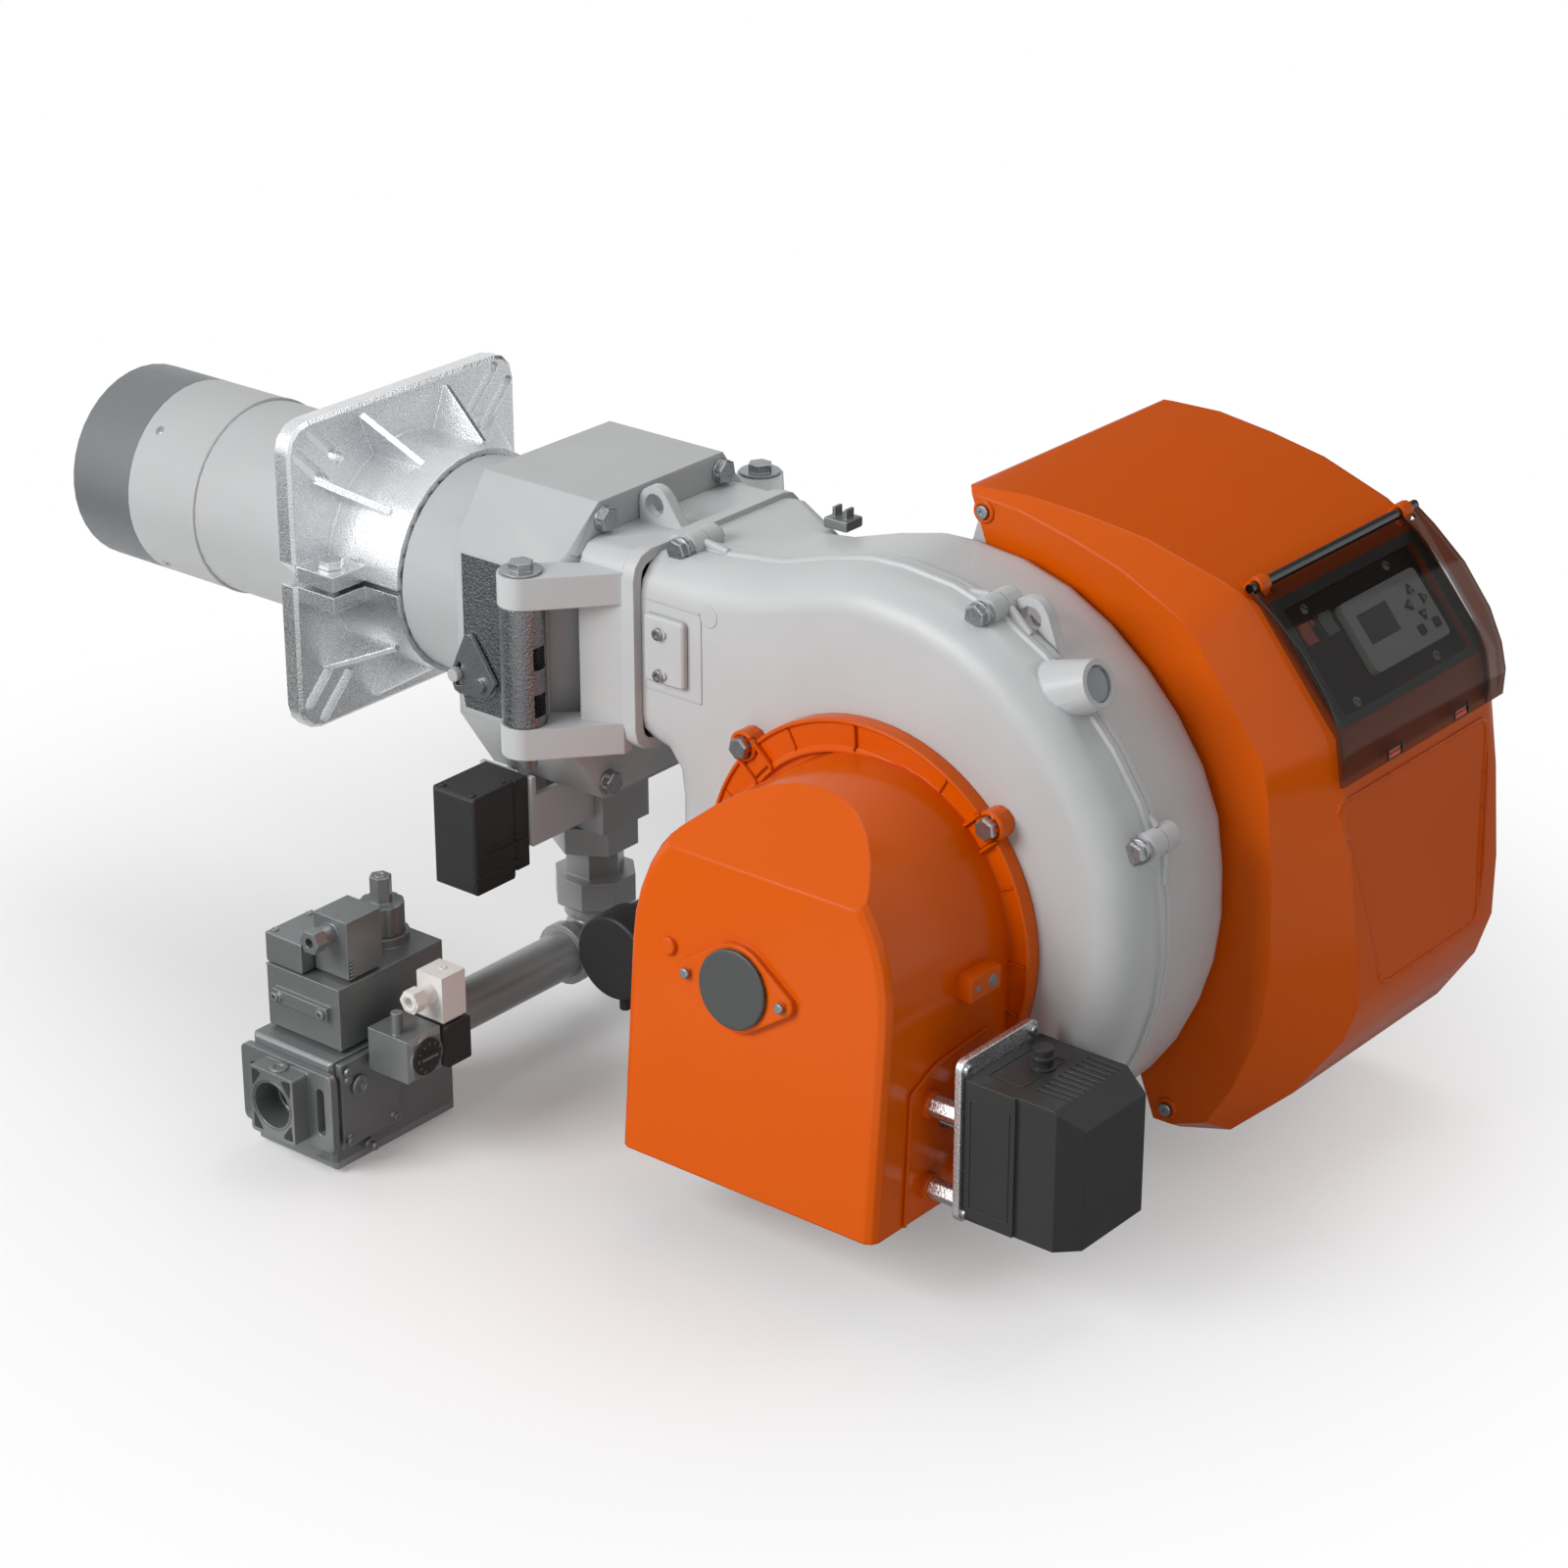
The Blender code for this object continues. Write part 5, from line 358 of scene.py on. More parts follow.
def hexagon_head(b, point, toward, across, height, washer, turn=0.2):
    """a forged hexagon head with a turned crown, on its washer"""
    lift, crown = across * 0.1, height * 0.16
    turned(b, point, toward, ((0, -lift), (washer, -lift), (washer, lift * 0.7), (washer * 0.94, lift), (0, lift)), 28)
    before = set(b.verts)
    corner = across / 2 / math.cos(math.pi / 6)
    block = bmesh.ops.create_cone(b, cap_ends=True, cap_tris=False, segments=6, radius1=corner, radius2=corner,
                                  depth=height)["verts"]
    bmesh.ops.translate(b, verts=block, vec=(0, 0, lift + height / 2))
    top = max({f for v in block for f in v.link_faces}, key=lambda f: f.calc_center_median().z)
    for v in top.verts:
        v.co.z -= crown
    bmesh.ops.inset_region(b, faces=[top], thickness=across * 0.07, depth=crown)
    bmesh.ops.transform(b, matrix=aimed(point, toward, turn), verts=[v for v in b.verts if v not in before])


def rib(b, start, end, up, width, height, edge=0.0006, segments=2):
    """a straight rib or bar between two points, standing up from its surface, with rounded edges"""
    start, end, up = Vector(start), Vector(end), Vector(up).normalized()
    run = end - start
    side = run.cross(up).normalized()
    up = side.cross(run).normalized()
    turn = Matrix((run.normalized(), side, up)).transposed().to_4x4()
    made = bmesh.ops.create_cube(b, size=1.0)["verts"]
    bmesh.ops.transform(b, matrix=Matrix.Translation((start + end) / 2 + up * height / 2) @ turn
                        @ Matrix.Diagonal((run.length, width, height, 1)), verts=made)
    faces = {f for v in made for f in v.link_faces}
    if edge:
        bevelled(b, list({e for f in faces for e in f.edges}), edge, segments)


b = bmesh.new()
for degrees in (134, 44, 224, 314):
    out = spoke(degrees, 0)
    screw(b, Vector((TUBE_SCREW_X, 0, 0)) + out * (SLEEVE_SKIN - 0.0004), out, 0.0042, 0.0009, 0.45)
finished(b, "tube_screws", "head", [zinc_finish], 30)
b = bmesh.new()
turned(b, (SLEEVE_END, 0, 0), FRONT, ((TUBE_SKIN, -0.0016), (SLEEVE_SKIN + 0.0003, -0.0012), (SLEEVE_SKIN + 0.0005, 0),
                                      (SLEEVE_SKIN - 0.0004, 0.0010), (TUBE_SKIN, 0.0012)), 96)
finished(b, "sleeve_seam", "head", [tube_paint], 40)

# The gas gun inside the tube: the pipe that brings the gas, its slotted flame disc, and the ignition and sensing
# rods in glazed porcelain.
dressed("gas_gun", heat_steel)
porcelain = surface("porcelain", linear(232, 228, 220), 0.16, grain=90, depth=0.00001, mottle=0.03, coat=0.6)
dressed("electrodes", porcelain)

# The head casting: an eight-sided aluminium box, painted light grey, its flat sides left as cast, with bolts at its
# corners. Its grey is a darker copy of the housing's paint: painted shade.
CAST = {"grain": 520, "depth": 0.00006, "mottle": 0.03, "edge": 0.2, "rounding": 0.0018, "spread": 0.05}
cast_paint = surface("light_grey_paint", linear(190, 192, 193), 0.40, **CAST)
# The same light grey paint as the housing, made darker as painted shade
head_paint_painted_shade = surface("head_paint_painted_shade", linear(175, 177, 178), 0.40, **CAST)
rough_casting = surface("unpainted_casting", linear(128, 130, 133), 0.26, grain=480, depth=0.0009, metallic=0.95,
                        mottle=0.12, edge=0.7, rounding=0.0012, spread=0.16)
SIDE_FACE, SIDE_PLAY, SIDE_BORDER, SIDE_SUNK, HEAD_BACK = 0.117, 0.0012, 0.0065, 0.0007, 0.3115
BARREL_AT, BARREL_SKIN, BARREL_FROM, BARREL_TO = Vector((0.291, -0.151)), 0.0194, -0.048, 0.056
b = taken("head_casting")
for way in (-1, 1):
    side_faces = [f for f in b.faces
                  if f.normal.y * way > 0.999 and abs(f.calc_center_median().y - SIDE_FACE * way) < SIDE_PLAY]
    if side_faces:
        bmesh.ops.inset_region(b, faces=side_faces, thickness=SIDE_BORDER, depth=-SIDE_SUNK, use_boundary=True,
                               use_even_offset=True)
        for f in side_faces:
            f.material_index = 1
for f in b.faces:
    centre = f.calc_center_median()
    if (centre.xy - BARREL_AT).length < BARREL_SKIN and BARREL_FROM < centre.z < BARREL_TO:
        f.material_index = 1
finished(b, "head_casting_skin", "head", [head_paint_painted_shade, rough_casting], 34, ["head_casting"])
b = bmesh.new()
for y in (-0.074, 0.074):
    for z in (0.111, -0.123):
        hexagon_head(b, (HEAD_BACK, y, z), FRONT, 0.0188, 0.0068, 0.0108)
finished(b, "head_bolts", "head", [zinc_finish], 30)
dressed("near_pin_middle", zinc_finish)

# The lever that moves the flame disc: a zinc-plated plate with its arc slot, on a squared shaft, held by a clamp
# screw.
dressed("adjust_lever", zinc_finish, 0.0004)

# The gas throttle under the head, its servo on a bracket, and the gas pipe: union, elbow and pipe in dark grey
# paint.
throttle_paint = surface("throttle_grey", linear(150, 152, 153), 0.38, grain=520, depth=0.00006, mottle=0.04,
                         edge=0.3, rounding=0.0014)
dressed("gas_throttle", throttle_paint, 0.0010)
dressed("throttle_bracket", cast_paint, 0.0007)
dressed("gas_butterfly", zinc_finish)
servo_plastic = surface("black_servo_plastic", linear(54, 54, 54), 0.36, grain=1500, depth=0.00004, mottle=0.05,
                        edge=0.35, rounding=0.0012, specular=0.25)
dressed("throttle_servo", servo_plastic, 0.0012)
b = bmesh.new()
for z in (-0.172, -0.178):
    rib(b, (0.2516, -0.162, z), (0.2516, -0.116, z), FRONT, 0.0016, 0.0012, 0.0005)
rib(b, (0.2508, -0.176, -0.196), (0.2508, -0.120, -0.196), FRONT, 0.003, 0.0016, 0.0006)
for x, y in ((0.211, -0.168), (0.245, -0.168), (0.245, -0.132)):
    screw(b, (x, y, -0.1222), UP, 0.0028, 0.0016, 0.5)
finished(b, "throttle_servo_trim", "head", [servo_plastic], 30)
pipe_paint = surface("dark_grey_paint", linear(160, 161, 161), 0.36, grain=480, depth=0.00005, metallic=0.35,
                     mottle=0.04, edge=0.5, rounding=0.0012, specular=0.3)
dressed("gas_union", pipe_paint, 0.0008)
dressed("gas_elbow", pipe_paint, 0.0006, sharp=40)
dressed("gas_pipe", pipe_paint, 0.0006, sharp=40)

# The gas valve: die-cast blocks screwed together, with the pressure regulator and the coil's plug on top, and the
# inlet flange with its threaded port in front.
PORT_X, PORT_Z, PORT_FACE = 0.228, -0.322, -0.3962
VALVE_SIDE, VALVE_TOP, SLIT_COUNT, SLIT_FIRST, SLIT_STEP = 0.2803, -0.1938, 5, -0.205, 0.0032
valve_paint = surface("valve_grey", linear(128, 131, 131), 0.34, grain=620, depth=0.00006, metallic=0.55, mottle=0.04,
                      edge=0.8, rounding=0.0012, specular=0.3)
for node, width in (("valve_body", 0.0010), ("valve_upper", 0.0009), ("regulator_cap", 0.0005), ("valve_cap", 0.0011),
                    ("valve_plug", 0.0009), ("valve_side_plate", 0.0008), ("gas_inlet_flange", 0.0008)):
    dressed(node, valve_paint, width)
b = bmesh.new()
for y, z in ((-0.360, -0.289), (-0.307, -0.289), (-0.360, -0.352), (-0.307, -0.352)):
    screw(b, (VALVE_SIDE, y, z), FRONT, 0.0036, 0.0022, 0.5)
turned(b, (VALVE_SIDE, -0.347, -0.306), FRONT,
       ((0.0085, -0.0005), (0.0085, 0.0012), (0.0078, 0.0018), (0.0058, 0.0018), (0.0054, 0.0008), (0.0030, 0.0008),
        (0.0026, -0.0004), (0, -0.0004)), 32)
turned(b, (0.2720, -0.336, -0.366), FRONT, ((0.0052, -0.001), (0.0052, 0.006), (0.0036, 0.0066), (0.0036, 0.0125),
                                            (0.0028, 0.0135), (0, 0.0135)), 24)
for x in (0.201, 0.253):
    screw(b, (x, -0.3592, -0.246), NEAR, 0.0042, 0.0034, 0.5)
for x, y in ((0.1905, -0.3465), (0.2225, -0.3465), (0.1905, -0.3085)):
    screw(b, (x, y, VALVE_TOP), UP, 0.0030, 0.0010, 0.5)
turned(b, (PORT_X, -0.386, -0.2918), UP, ((0.0078, -0.0005), (0.0078, 0.0008), (0.0070, 0.0014), (0.0042, 0.0014),
                                          (0.0038, 0.0002), (0, 0.0002)), 32)
screw(b, (PORT_X, -0.262, -0.1652), UP, 0.0052, 0.0010, 0.55)
rib(b, (0.1856, -0.3545, -0.2224), (0.2274, -0.3545, -0.2224), NEAR, 0.0008, 0.0006, 0.0002)
for i in range(SLIT_COUNT):
    z = SLIT_FIRST - i * SLIT_STEP
    rib(b, (0.2664, -0.3385, z), (0.2664, -0.3345, z), FRONT, 0.0016, 0.0012, 0.0004)
finished(b, "valve_screws", "head", [valve_paint], 30)
bore_dark = surface("machined_bore", linear(120, 122, 124), 0.3, grain=400, depth=0.00002, metallic=0.8, mottle=0.05)
b = bmesh.new()
turned(b, (PORT_X, -0.3952, PORT_Z), (0, 1, 0), [(0.0206, -0.0012), (0.0222, -0.0012), (0.0222, -0.0004)], 48)
finished(b, "port_rim", "head", [bore_dark], 30)
# Pockets in the corners of the inlet flange, drawn as thin dark plates: their dark colour is painted shade for the
# hollows
b = bmesh.new()
for sx in (-1, 1):
    for sz in (-1, 1):
        corner = Vector((PORT_X + sx * 0.0215, PORT_FACE, PORT_Z + sz * 0.0262))
        inward = ((0, 0), (0.0095, 0), (0.0082, 0.0035), (0.0016, 0.0125), (0, 0.0135))
        face = b.faces.new([b.verts.new(corner - Vector((sx * x, 0, sz * z))) for x, z in inward])
        bmesh.ops.inset_region(b, faces=[face], thickness=0.0007, depth=0)
pocket_painted_shade = surface("pocket_painted_shadow", linear(38, 39, 40), 0.6, grain=400, depth=0.00002, mottle=0.05)
bmesh.ops.recalc_face_normals(b, faces=b.faces)
for f in b.faces:
    if f.normal.y > 0:
        f.normal_flip()
solid = bmesh.ops.extrude_face_region(b, geom=list(b.faces))
bmesh.ops.translate(b, verts=[v for v in solid["geom"] if isinstance(v, bmesh.types.BMVert)], vec=(0, 0.0009, 0))
bmesh.ops.recalc_face_normals(b, faces=b.faces)
finished(b, "port_pockets_painted_shade", "head", [pocket_painted_shade], 30)

# The gas pressure switch on the valve's side: a grey body with its setting dial, a black cover, and a white plug with
# a cable gland.
DIAL_AT, MARK_FROM, MARK_TO = Vector((0.3331, -0.3185, -0.275)), 0.0112, 0.0136
MARK_COUNT, MARK_FIRST, MARK_STEP = 11, -60, 30
dressed("pressure_switch", valve_paint, 0.0009)
cover_plastic = surface("black_cover_plastic", linear(50, 50, 50), 0.42, grain=1300, depth=0.00004, mottle=0.05,
                        edge=0.35, specular=0.25)
dressed("pressure_dial", cover_plastic, 0.0004)
b = bmesh.new()
for i in range(MARK_COUNT):
    out = spoke(MARK_FIRST + MARK_STEP * i, 0)
    rib(b, DIAL_AT + out * MARK_FROM, DIAL_AT + out * MARK_TO, FRONT, 0.0006, 0.0003, 0.0)
rib(b, DIAL_AT + Vector((0, -0.009, 0)), DIAL_AT + Vector((0, 0.009, 0)), FRONT, 0.0016, 0.0006, 0.0002)
finished(b, "dial_scale", "dial", [valve_paint], 30)
dressed("pressure_switch_cover", cover_plastic, 0.0014)
plug_plastic = surface("white_plug_plastic", linear(222, 219, 215), 0.36, grain=800, depth=0.00002, mottle=0.02,
                       edge=0.15)
dressed("pressure_switch_plug", plug_plastic, 0.0014)
b = bmesh.new()
screw(b, (0.314, -0.281, -0.2151), UP, 0.0034, 0.0010, 0.55, 3)
turned(b, (0.314, -0.3212, -0.231), NEAR, ((0.0082, -0.004), (0.0082, -0.0005), (0.0076, 0.0006), (0.0056, 0.0006),
                                           (0.0050, -0.001), (0.0050, -0.006), (0, -0.006)), 30)
finished(b, "plug_details", "head", [plug_plastic], 30)

# The fan housing: two cast aluminium halves in light grey paint, bolted round the seam. It carries the hatch, the
# sight port, the lifting eyes, and the two arms that hinge it on the head.
dressed("volute_near_shell", cast_paint, 0.0012, sharp=44, angle=36)
dressed("volute_rear_half", cast_paint, 0.0012, sharp=44, angle=36)
for node in ("far_hinge_pin", "near_pin_head", "near_pin_tip"):
    dressed(node, zinc_finish, 0.0006)
SEAM_BOLTS = ((0.390, -0.0692, 0.101), (0.687, -0.0692, 0.120), (0.839, -0.0692, -0.033), (0.772, -0.0692, -0.304),
              (0.560, -0.0692, -0.357), (0.414, -0.0750, -0.218))
GUSSETED, SEAM_Y, NUT_Y = SEAM_BOLTS[1:4], -0.045, -0.0278
VOLUTE_MIDDLE = Vector((0.612, 0, -0.137))
NUT = ((0, 0), (0.0098, 0), (0.0098, 0.0015), (0.0062, 0.0022), (0.0062, 0.0065), (0, 0.0065))
b = bmesh.new()
for x, y, z in SEAM_BOLTS:
    hexagon_head(b, (x, y, z), NEAR, 0.0168, 0.0062, 0.0105, turn=x * 9)
    turned(b, (x, NUT_Y, z), (0, 1, 0), NUT, 6)
finished(b, "seam_bolts", "housing", [zinc_finish], 30)
b = bmesh.new()
for x, y, z in GUSSETED:
    at = Vector((x, SEAM_Y, z))
    out = (at - VOLUTE_MIDDLE).normalized()
    out.y = 0
    side = Vector((-out.z, 0, out.x))
    for way in (-1, 1):
        foot = at + side * way * 0.034 - out * 0.011
        rib(b, at + side * way * 0.008 + Vector((0, 0.001, 0)), foot, out, 0.0055, 0.007, 0.0018, 3)
rib(b, (0.379, -0.050, 0.100), (0.366, -0.050, 0.0975), UP, 0.010, 0.006, 0.002, 3)
rib(b, (0.399, -0.050, 0.1015), (0.424, -0.050, 0.098), UP, 0.006, 0.006, 0.002, 3)
finished(b, "seam_gussets", "housing", [cast_paint], 40)

# The hatch over the fan's inlet side: a small cast plate with two socket screws, and round it the raised outline of
# its seat with a round boss at the upper corner.
HATCH_X, HATCH_FACE, NEAR_FACE = 0.3965, -0.1062, -0.0979
dressed("hatch_plate", cast_paint, 0.0014)
b = bmesh.new()
for z in (0.041, 0.005):
    screw(b, (HATCH_X, HATCH_FACE, z), NEAR, 0.0052, 0.0022, 0.5)
finished(b, "hatch_screws", "housing", [zinc_finish], 30)
SEAT = ((0.3745, 0.0650), (0.4350, 0.0650), (0.4350, -0.0120), (0.3745, -0.0120))
b = bmesh.new()
for (x0, z0), (x1, z1) in zip(SEAT, SEAT[1:]):
    rib(b, (x0, NEAR_FACE, z0), (x1, NEAR_FACE, z1), NEAR, 0.0016, 0.0008, 0.0003)
turned(b, (0.4430, NEAR_FACE + 0.0004, 0.0650), NEAR, ((0.0095, 0), (0.0092, 0.0010), (0.0086, 0.0013), (0, 0.0013)),
       32)
finished(b, "hatch_seat", "housing", [cast_paint], 40)

# Square pockets cast into the hinge arms.
ARM_FROM, ARM_TO = (0.3135, -0.1385, 0.0095), (0.3275, -0.1275, 0.0075)
b = bmesh.new()
for z in (0.0695, -0.0615):
    low_from, high_from, low_to, high_to = ((x, y, z + way * half) for x, y, half in (ARM_FROM, ARM_TO)
                                            for way in (-1, 1))
    for start, end in ((high_from, high_to), (low_from, low_to), (low_from, high_from), (low_to, high_to)):
        rib(b, start, end, (-0.6, -1, 0), 0.0022, 0.0020, 0.0007)
finished(b, "arm_pockets", "housing", [cast_paint], 40)

# The sight port: a short tube cast on the housing with a glass in a turned rim; behind the top edge, a small
# connector socket.
b = taken("sight_glass", False)
glass = plain("sight_glass", {"Base Color": linear(120, 126, 130), "Roughness": 0.12, "Coat Weight": 0.5})
finished(b, "sight_glass_skin", "housing", [glass], 30, ["sight_glass"])
b = bmesh.new()
rib(b, (0.4480, 0.052, 0.1020), (0.4720, 0.052, 0.1020), UP, 0.022, 0.0090, 0.0015)
for x in (0.4540, 0.4660):
    rib(b, (x, 0.047, 0.1108), (x, 0.057, 0.1108), UP, 0.0030, 0.0085, 0.0006)
finished(b, "rear_connector", "housing", [valve_paint], 30)

# Fan and motor: the wheel inside the housing, the damper in the intake, and the motor with its terminal box.
for node in ("impeller", "air_damper"):
    dressed(node, zinc_finish)
dressed("fan_motor", pipe_paint)
dressed("motor_terminal_box", cover_plastic, 0.0012)

# The air intake: one piece of glossy orange plastic on a bolted ring, its roof sloping to a crease across the front,
# and a grey disc in a raised rim closing the front.
orange_gloss = surface("glossy_orange", linear(214, 88, 0), 0.20, grain=240, depth=0.00001, mottle=0.01, spread=0.03,
                       specular=0.18, rounding=0.0030)
dressed("air_intake", orange_gloss, 0.0009, sharp=40, angle=22, segments=2)
cap_plastic = surface("grey_disc", linear(69, 71, 71), 0.5, grain=900, depth=0.00004, mottle=0.04, edge=0.3)
dressed("intake_cap", cap_plastic)


def cut(b, at, facing, clear=False):
    """cuts a shape along a plane, and clears what lies beyond it if so told"""
    bmesh.ops.bisect_plane(b, geom=list(b.verts) + list(b.edges) + list(b.faces), plane_co=at, plane_no=facing,
                           clear_outer=clear)


RING_MIDDLE, RING_OUT, RING_IN, RING_FOOT = Vector((0.612, -0.110, -0.137)), 0.160, 0.1385, -0.275
RING_RIBS = ((94, 0.0030), (60, 0.0018), (120, 0.0018), (24, 0.0018), (156, 0.0018), (0, 0.0030), (180, 0.0030),
             (-16, 0.0030), (196, 0.0030))
RING_BOLTS, BOLT_CIRCLE = (138, 42, 222), 0.163
b = bmesh.new()
turned(b, RING_MIDDLE, NEAR, ((RING_OUT - 0.0002, -0.006), (RING_OUT, 0.0008), (RING_OUT - 0.0012, 0.0022),
                              (RING_OUT - 0.0032, 0.0022), (RING_OUT - 0.0042, -0.001)), 120)
turned(b, RING_MIDDLE, NEAR, ((RING_IN + 0.0008, -0.001), (RING_IN, 0.0016), (RING_IN - 0.0030, 0.0030),
                              (RING_IN - 0.0060, 0.0034), (RING_IN - 0.0062, -0.002)), 120)
cut(b, (0, 0, RING_FOOT), (0, 0, -1), True)
for degrees, tall in RING_RIBS:
    out = spoke(degrees, 1)
    rib(b, RING_MIDDLE + out * (RING_IN - 0.004), RING_MIDDLE + out * (RING_OUT - 0.003), NEAR, 0.0018, tall, 0.0005)
for degrees in RING_BOLTS:
    out = spoke(degrees, 1)
    side = Vector((-out.z, 0, out.x))
    bolt = RING_MIDDLE + out * BOLT_CIRCLE
    for way in (-1, 1):
        rib(b, bolt + side * way * 0.0118, bolt - out * 0.030 + side * way * 0.0118, NEAR, 0.0030, 0.0052, 0.0009)
    turned(b, bolt, NEAR, ((0.0131, -0.002), (0.0131, 0.0034), (0.0122, 0.0044), (0.0098, 0.0044), (0.0094, 0.0010),
                           (0, 0.0010)), 32)
    rib(b, bolt - out * 0.012, bolt - out * 0.028, NEAR, 0.0200, 0.0022, 0.0008)
finished(b, "intake_ring_trim", "housing", [orange_gloss], 36)
b = bmesh.new()
for degrees in RING_BOLTS:
    bolt = RING_MIDDLE + spoke(degrees, 1) * BOLT_CIRCLE
    hexagon_head(b, bolt + Vector((0, -0.0014, 0)), NEAR, 0.0165, 0.0086, 0.0092, turn=degrees)
finished(b, "intake_bolts", "housing", [zinc_finish], 30)
SIDE_X, PIVOT_Z = 0.7522, -0.133
b = bmesh.new()
for (y0, z0), (y1, z1) in (((-0.139, -0.182), (-0.203, -0.187)), ((-0.2030, -0.1872), (-0.2345, -0.2010)),
                           ((-0.2340, -0.2005), (-0.2400, -0.3120))):
    rib(b, (SIDE_X, y0, z0), (SIDE_X, y1, z1), FRONT, 0.0030, 0.0032, 0.0011, 3)
rib(b, (SIDE_X - 0.004, -0.139, PIVOT_Z), (SIDE_X - 0.004, -0.177, PIVOT_Z), FRONT, 0.0200, 0.0180, 0.0012, 3)
finished(b, "intake_side_ribs", "housing", [orange_gloss], 36)
b = bmesh.new()
turned(b, (SIDE_X + 0.0142, -0.150, PIVOT_Z), FRONT, ((0.0052, -0.001), (0.0052, 0.0002), (0, 0.0002)), 28)
turned(b, (SIDE_X + 0.0142, -0.1685, PIVOT_Z), FRONT, ((0.0026, -0.001), (0.0026, 0.0004), (0, 0.0004)), 20)
for x in (0.5645, 0.6575):
    turned(b, (x, -0.2732, -0.1430), (0, -1, 0.09), ((0.0042, -0.003), (0.0042, 0.0010), (0.0034, 0.0018), (0, 0.0018)),
           24)
finished(b, "intake_studs", "housing", [zinc_finish], 30)

# The air servo: a black two-part housing on a bright cast plate, with cooling slots, a cable stub and cross screws.
SERVO_PLATE_X, SERVO_NEAR, SERVO_TOP = 0.7912, -0.2179, -0.1811
dressed("servo_plate", bright_casting, 0.0007)
dressed("air_servo", servo_plastic, 0.0012)
dressed("air_switch_cover", cover_plastic, 0.0012)
dressed("air_pressure_switch", cover_plastic, 0.0010)
b = bmesh.new()
for y in (-0.215, -0.131):
    for z in (-0.174, -0.2965):
        screw(b, (SERVO_PLATE_X, y, z), FRONT, 0.0048, 0.0034, 0.42, 4)
finished(b, "servo_screws", "housing", [zinc_finish], 30)


def closed(outline):
    """each point of an outline with the next, back to the first"""
    return zip(outline, outline[1:] + outline[:1])


NEAR_FRAME = ((0.797, -0.196), (0.833, -0.196), (0.833, -0.289), (0.797, -0.289))
TOP_FRAME = ((0.801, -0.200), (0.832, -0.200), (0.832, -0.146), (0.801, -0.146))
b = bmesh.new()
for y, z in ((-0.2172, -0.1818), (-0.1228, -0.1818), (-0.2172, -0.2992), (-0.1228, -0.2992)):
    rib(b, (0.7913, y, z), (0.8060, y, z), UP, 0.0016, 0.0014, 0.0005)
rib(b, (0.8385, -0.2184, -0.184), (0.8385, -0.2184, -0.2985), NEAR, 0.0012, 0.0008, 0.0003)
for (x0, z0), (x1, z1) in closed(NEAR_FRAME):
    rib(b, (x0, SERVO_NEAR, z0), (x1, SERVO_NEAR, z1), NEAR, 0.0014, 0.0007, 0.0003)
for (x0, y0), (x1, y1) in closed(TOP_FRAME):
    rib(b, (x0, y0, SERVO_TOP), (x1, y1, SERVO_TOP), UP, 0.0014, 0.0007, 0.0003)
turned(b, (0.825, -0.165, -0.1812), UP, ((0.0100, 0), (0.0100, 0.0022), (0.0082, 0.0026), (0.0082, 0.0075),
                                         (0.0092, 0.0080), (0.0092, 0.0108), (0.0079, 0.0112), (0.0079, 0.0176),
                                         (0.0058, 0.0176), (0.0056, 0.0150), (0, 0.0150)), 32)
finished(b, "servo_trim", "housing", [servo_plastic], 30)
# The cooling slots are black strips laid on the servo's top: painted shade where the slots would be deep
slot_painted_shade = surface("slot_painted_shadow", linear(22, 22, 22), 0.6, grain=600, depth=0.00001, mottle=0.02)
VENT_COUNT, VENT_FIRST, VENT_STEP, VENT_FROM, VENT_TO, VENT_Z = 10, -0.131, 0.0072, 0.8424, 0.8716, -0.18296
b = bmesh.new()
for i in range(VENT_COUNT):
    y = VENT_FIRST - i * VENT_STEP
    rib(b, (VENT_FROM, y, VENT_Z), (VENT_TO, y, VENT_Z), UP, 0.0026, 0.0012, 0.0)
finished(b, "servo_vents_painted_shade", "housing", [slot_painted_shade], 30)

# The hood: one large moulding in glossy orange over the motor and the electrical plate, screwed to two arms of the
# housing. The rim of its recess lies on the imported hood, found by rays cast from the front.
dressed("hood", orange_gloss, 0.0018, sharp=40, angle=24, segments=3)
hood_shape = taken("hood")
hood_surface = BVHTree.FromBMesh(hood_shape)
hood_shape.free()
RECESS = ((0.103, -0.044), (0.106, -0.036), (0.114, -0.034), (0.316, -0.034), (0.3225, -0.040), (0.3225, -0.052),
          (0.3080, -0.196), (0.3030, -0.205), (0.2950, -0.2085), (0.1700, -0.2085), (0.1600, -0.206), (0.1550, -0.198),
          (0.103, -0.044))
RAY_FROM, RIM_STEP, RIM_SUNK = 1.2, 0.028, Vector((0.0016, 0, 0))
b = bmesh.new()
for (y0, z0), (y1, z1) in zip(RECESS, RECESS[1:]):
    steps = max(1, round(math.dist((y0, z0), (y1, z1)) / RIM_STEP))
    for i in range(steps):
        start, end = (hood_surface.ray_cast(Vector((RAY_FROM, y0 + (y1 - y0) * share, z0 + (z1 - z0) * share)),
                                            Vector((-1, 0, 0)))[0] for share in (i / steps, (i + 1) / steps))
        rib(b, start - RIM_SUNK, end - RIM_SUNK, FRONT, 0.0044, 0.0028, 0.0011, 3)
finished(b, "hood_recess_rim", "housing", [orange_gloss], 50)
HOOD_SCREWS, BOSS_Y, HOOD_SCREW_Y = ((0.601, 0.148), (0.796, -0.319)), 0.0524, 0.0500
b = bmesh.new()
for x, z in HOOD_SCREWS:
    turned(b, (x, BOSS_Y, z), NEAR, ((0.0098, -0.001), (0.0098, 0.0010), (0.0088, 0.0018), (0.0066, 0.0018),
                                     (0.0064, 0.0006), (0, 0.0006)), 32)
finished(b, "hood_screw_bosses", "housing", [orange_gloss], 36)
b = bmesh.new()
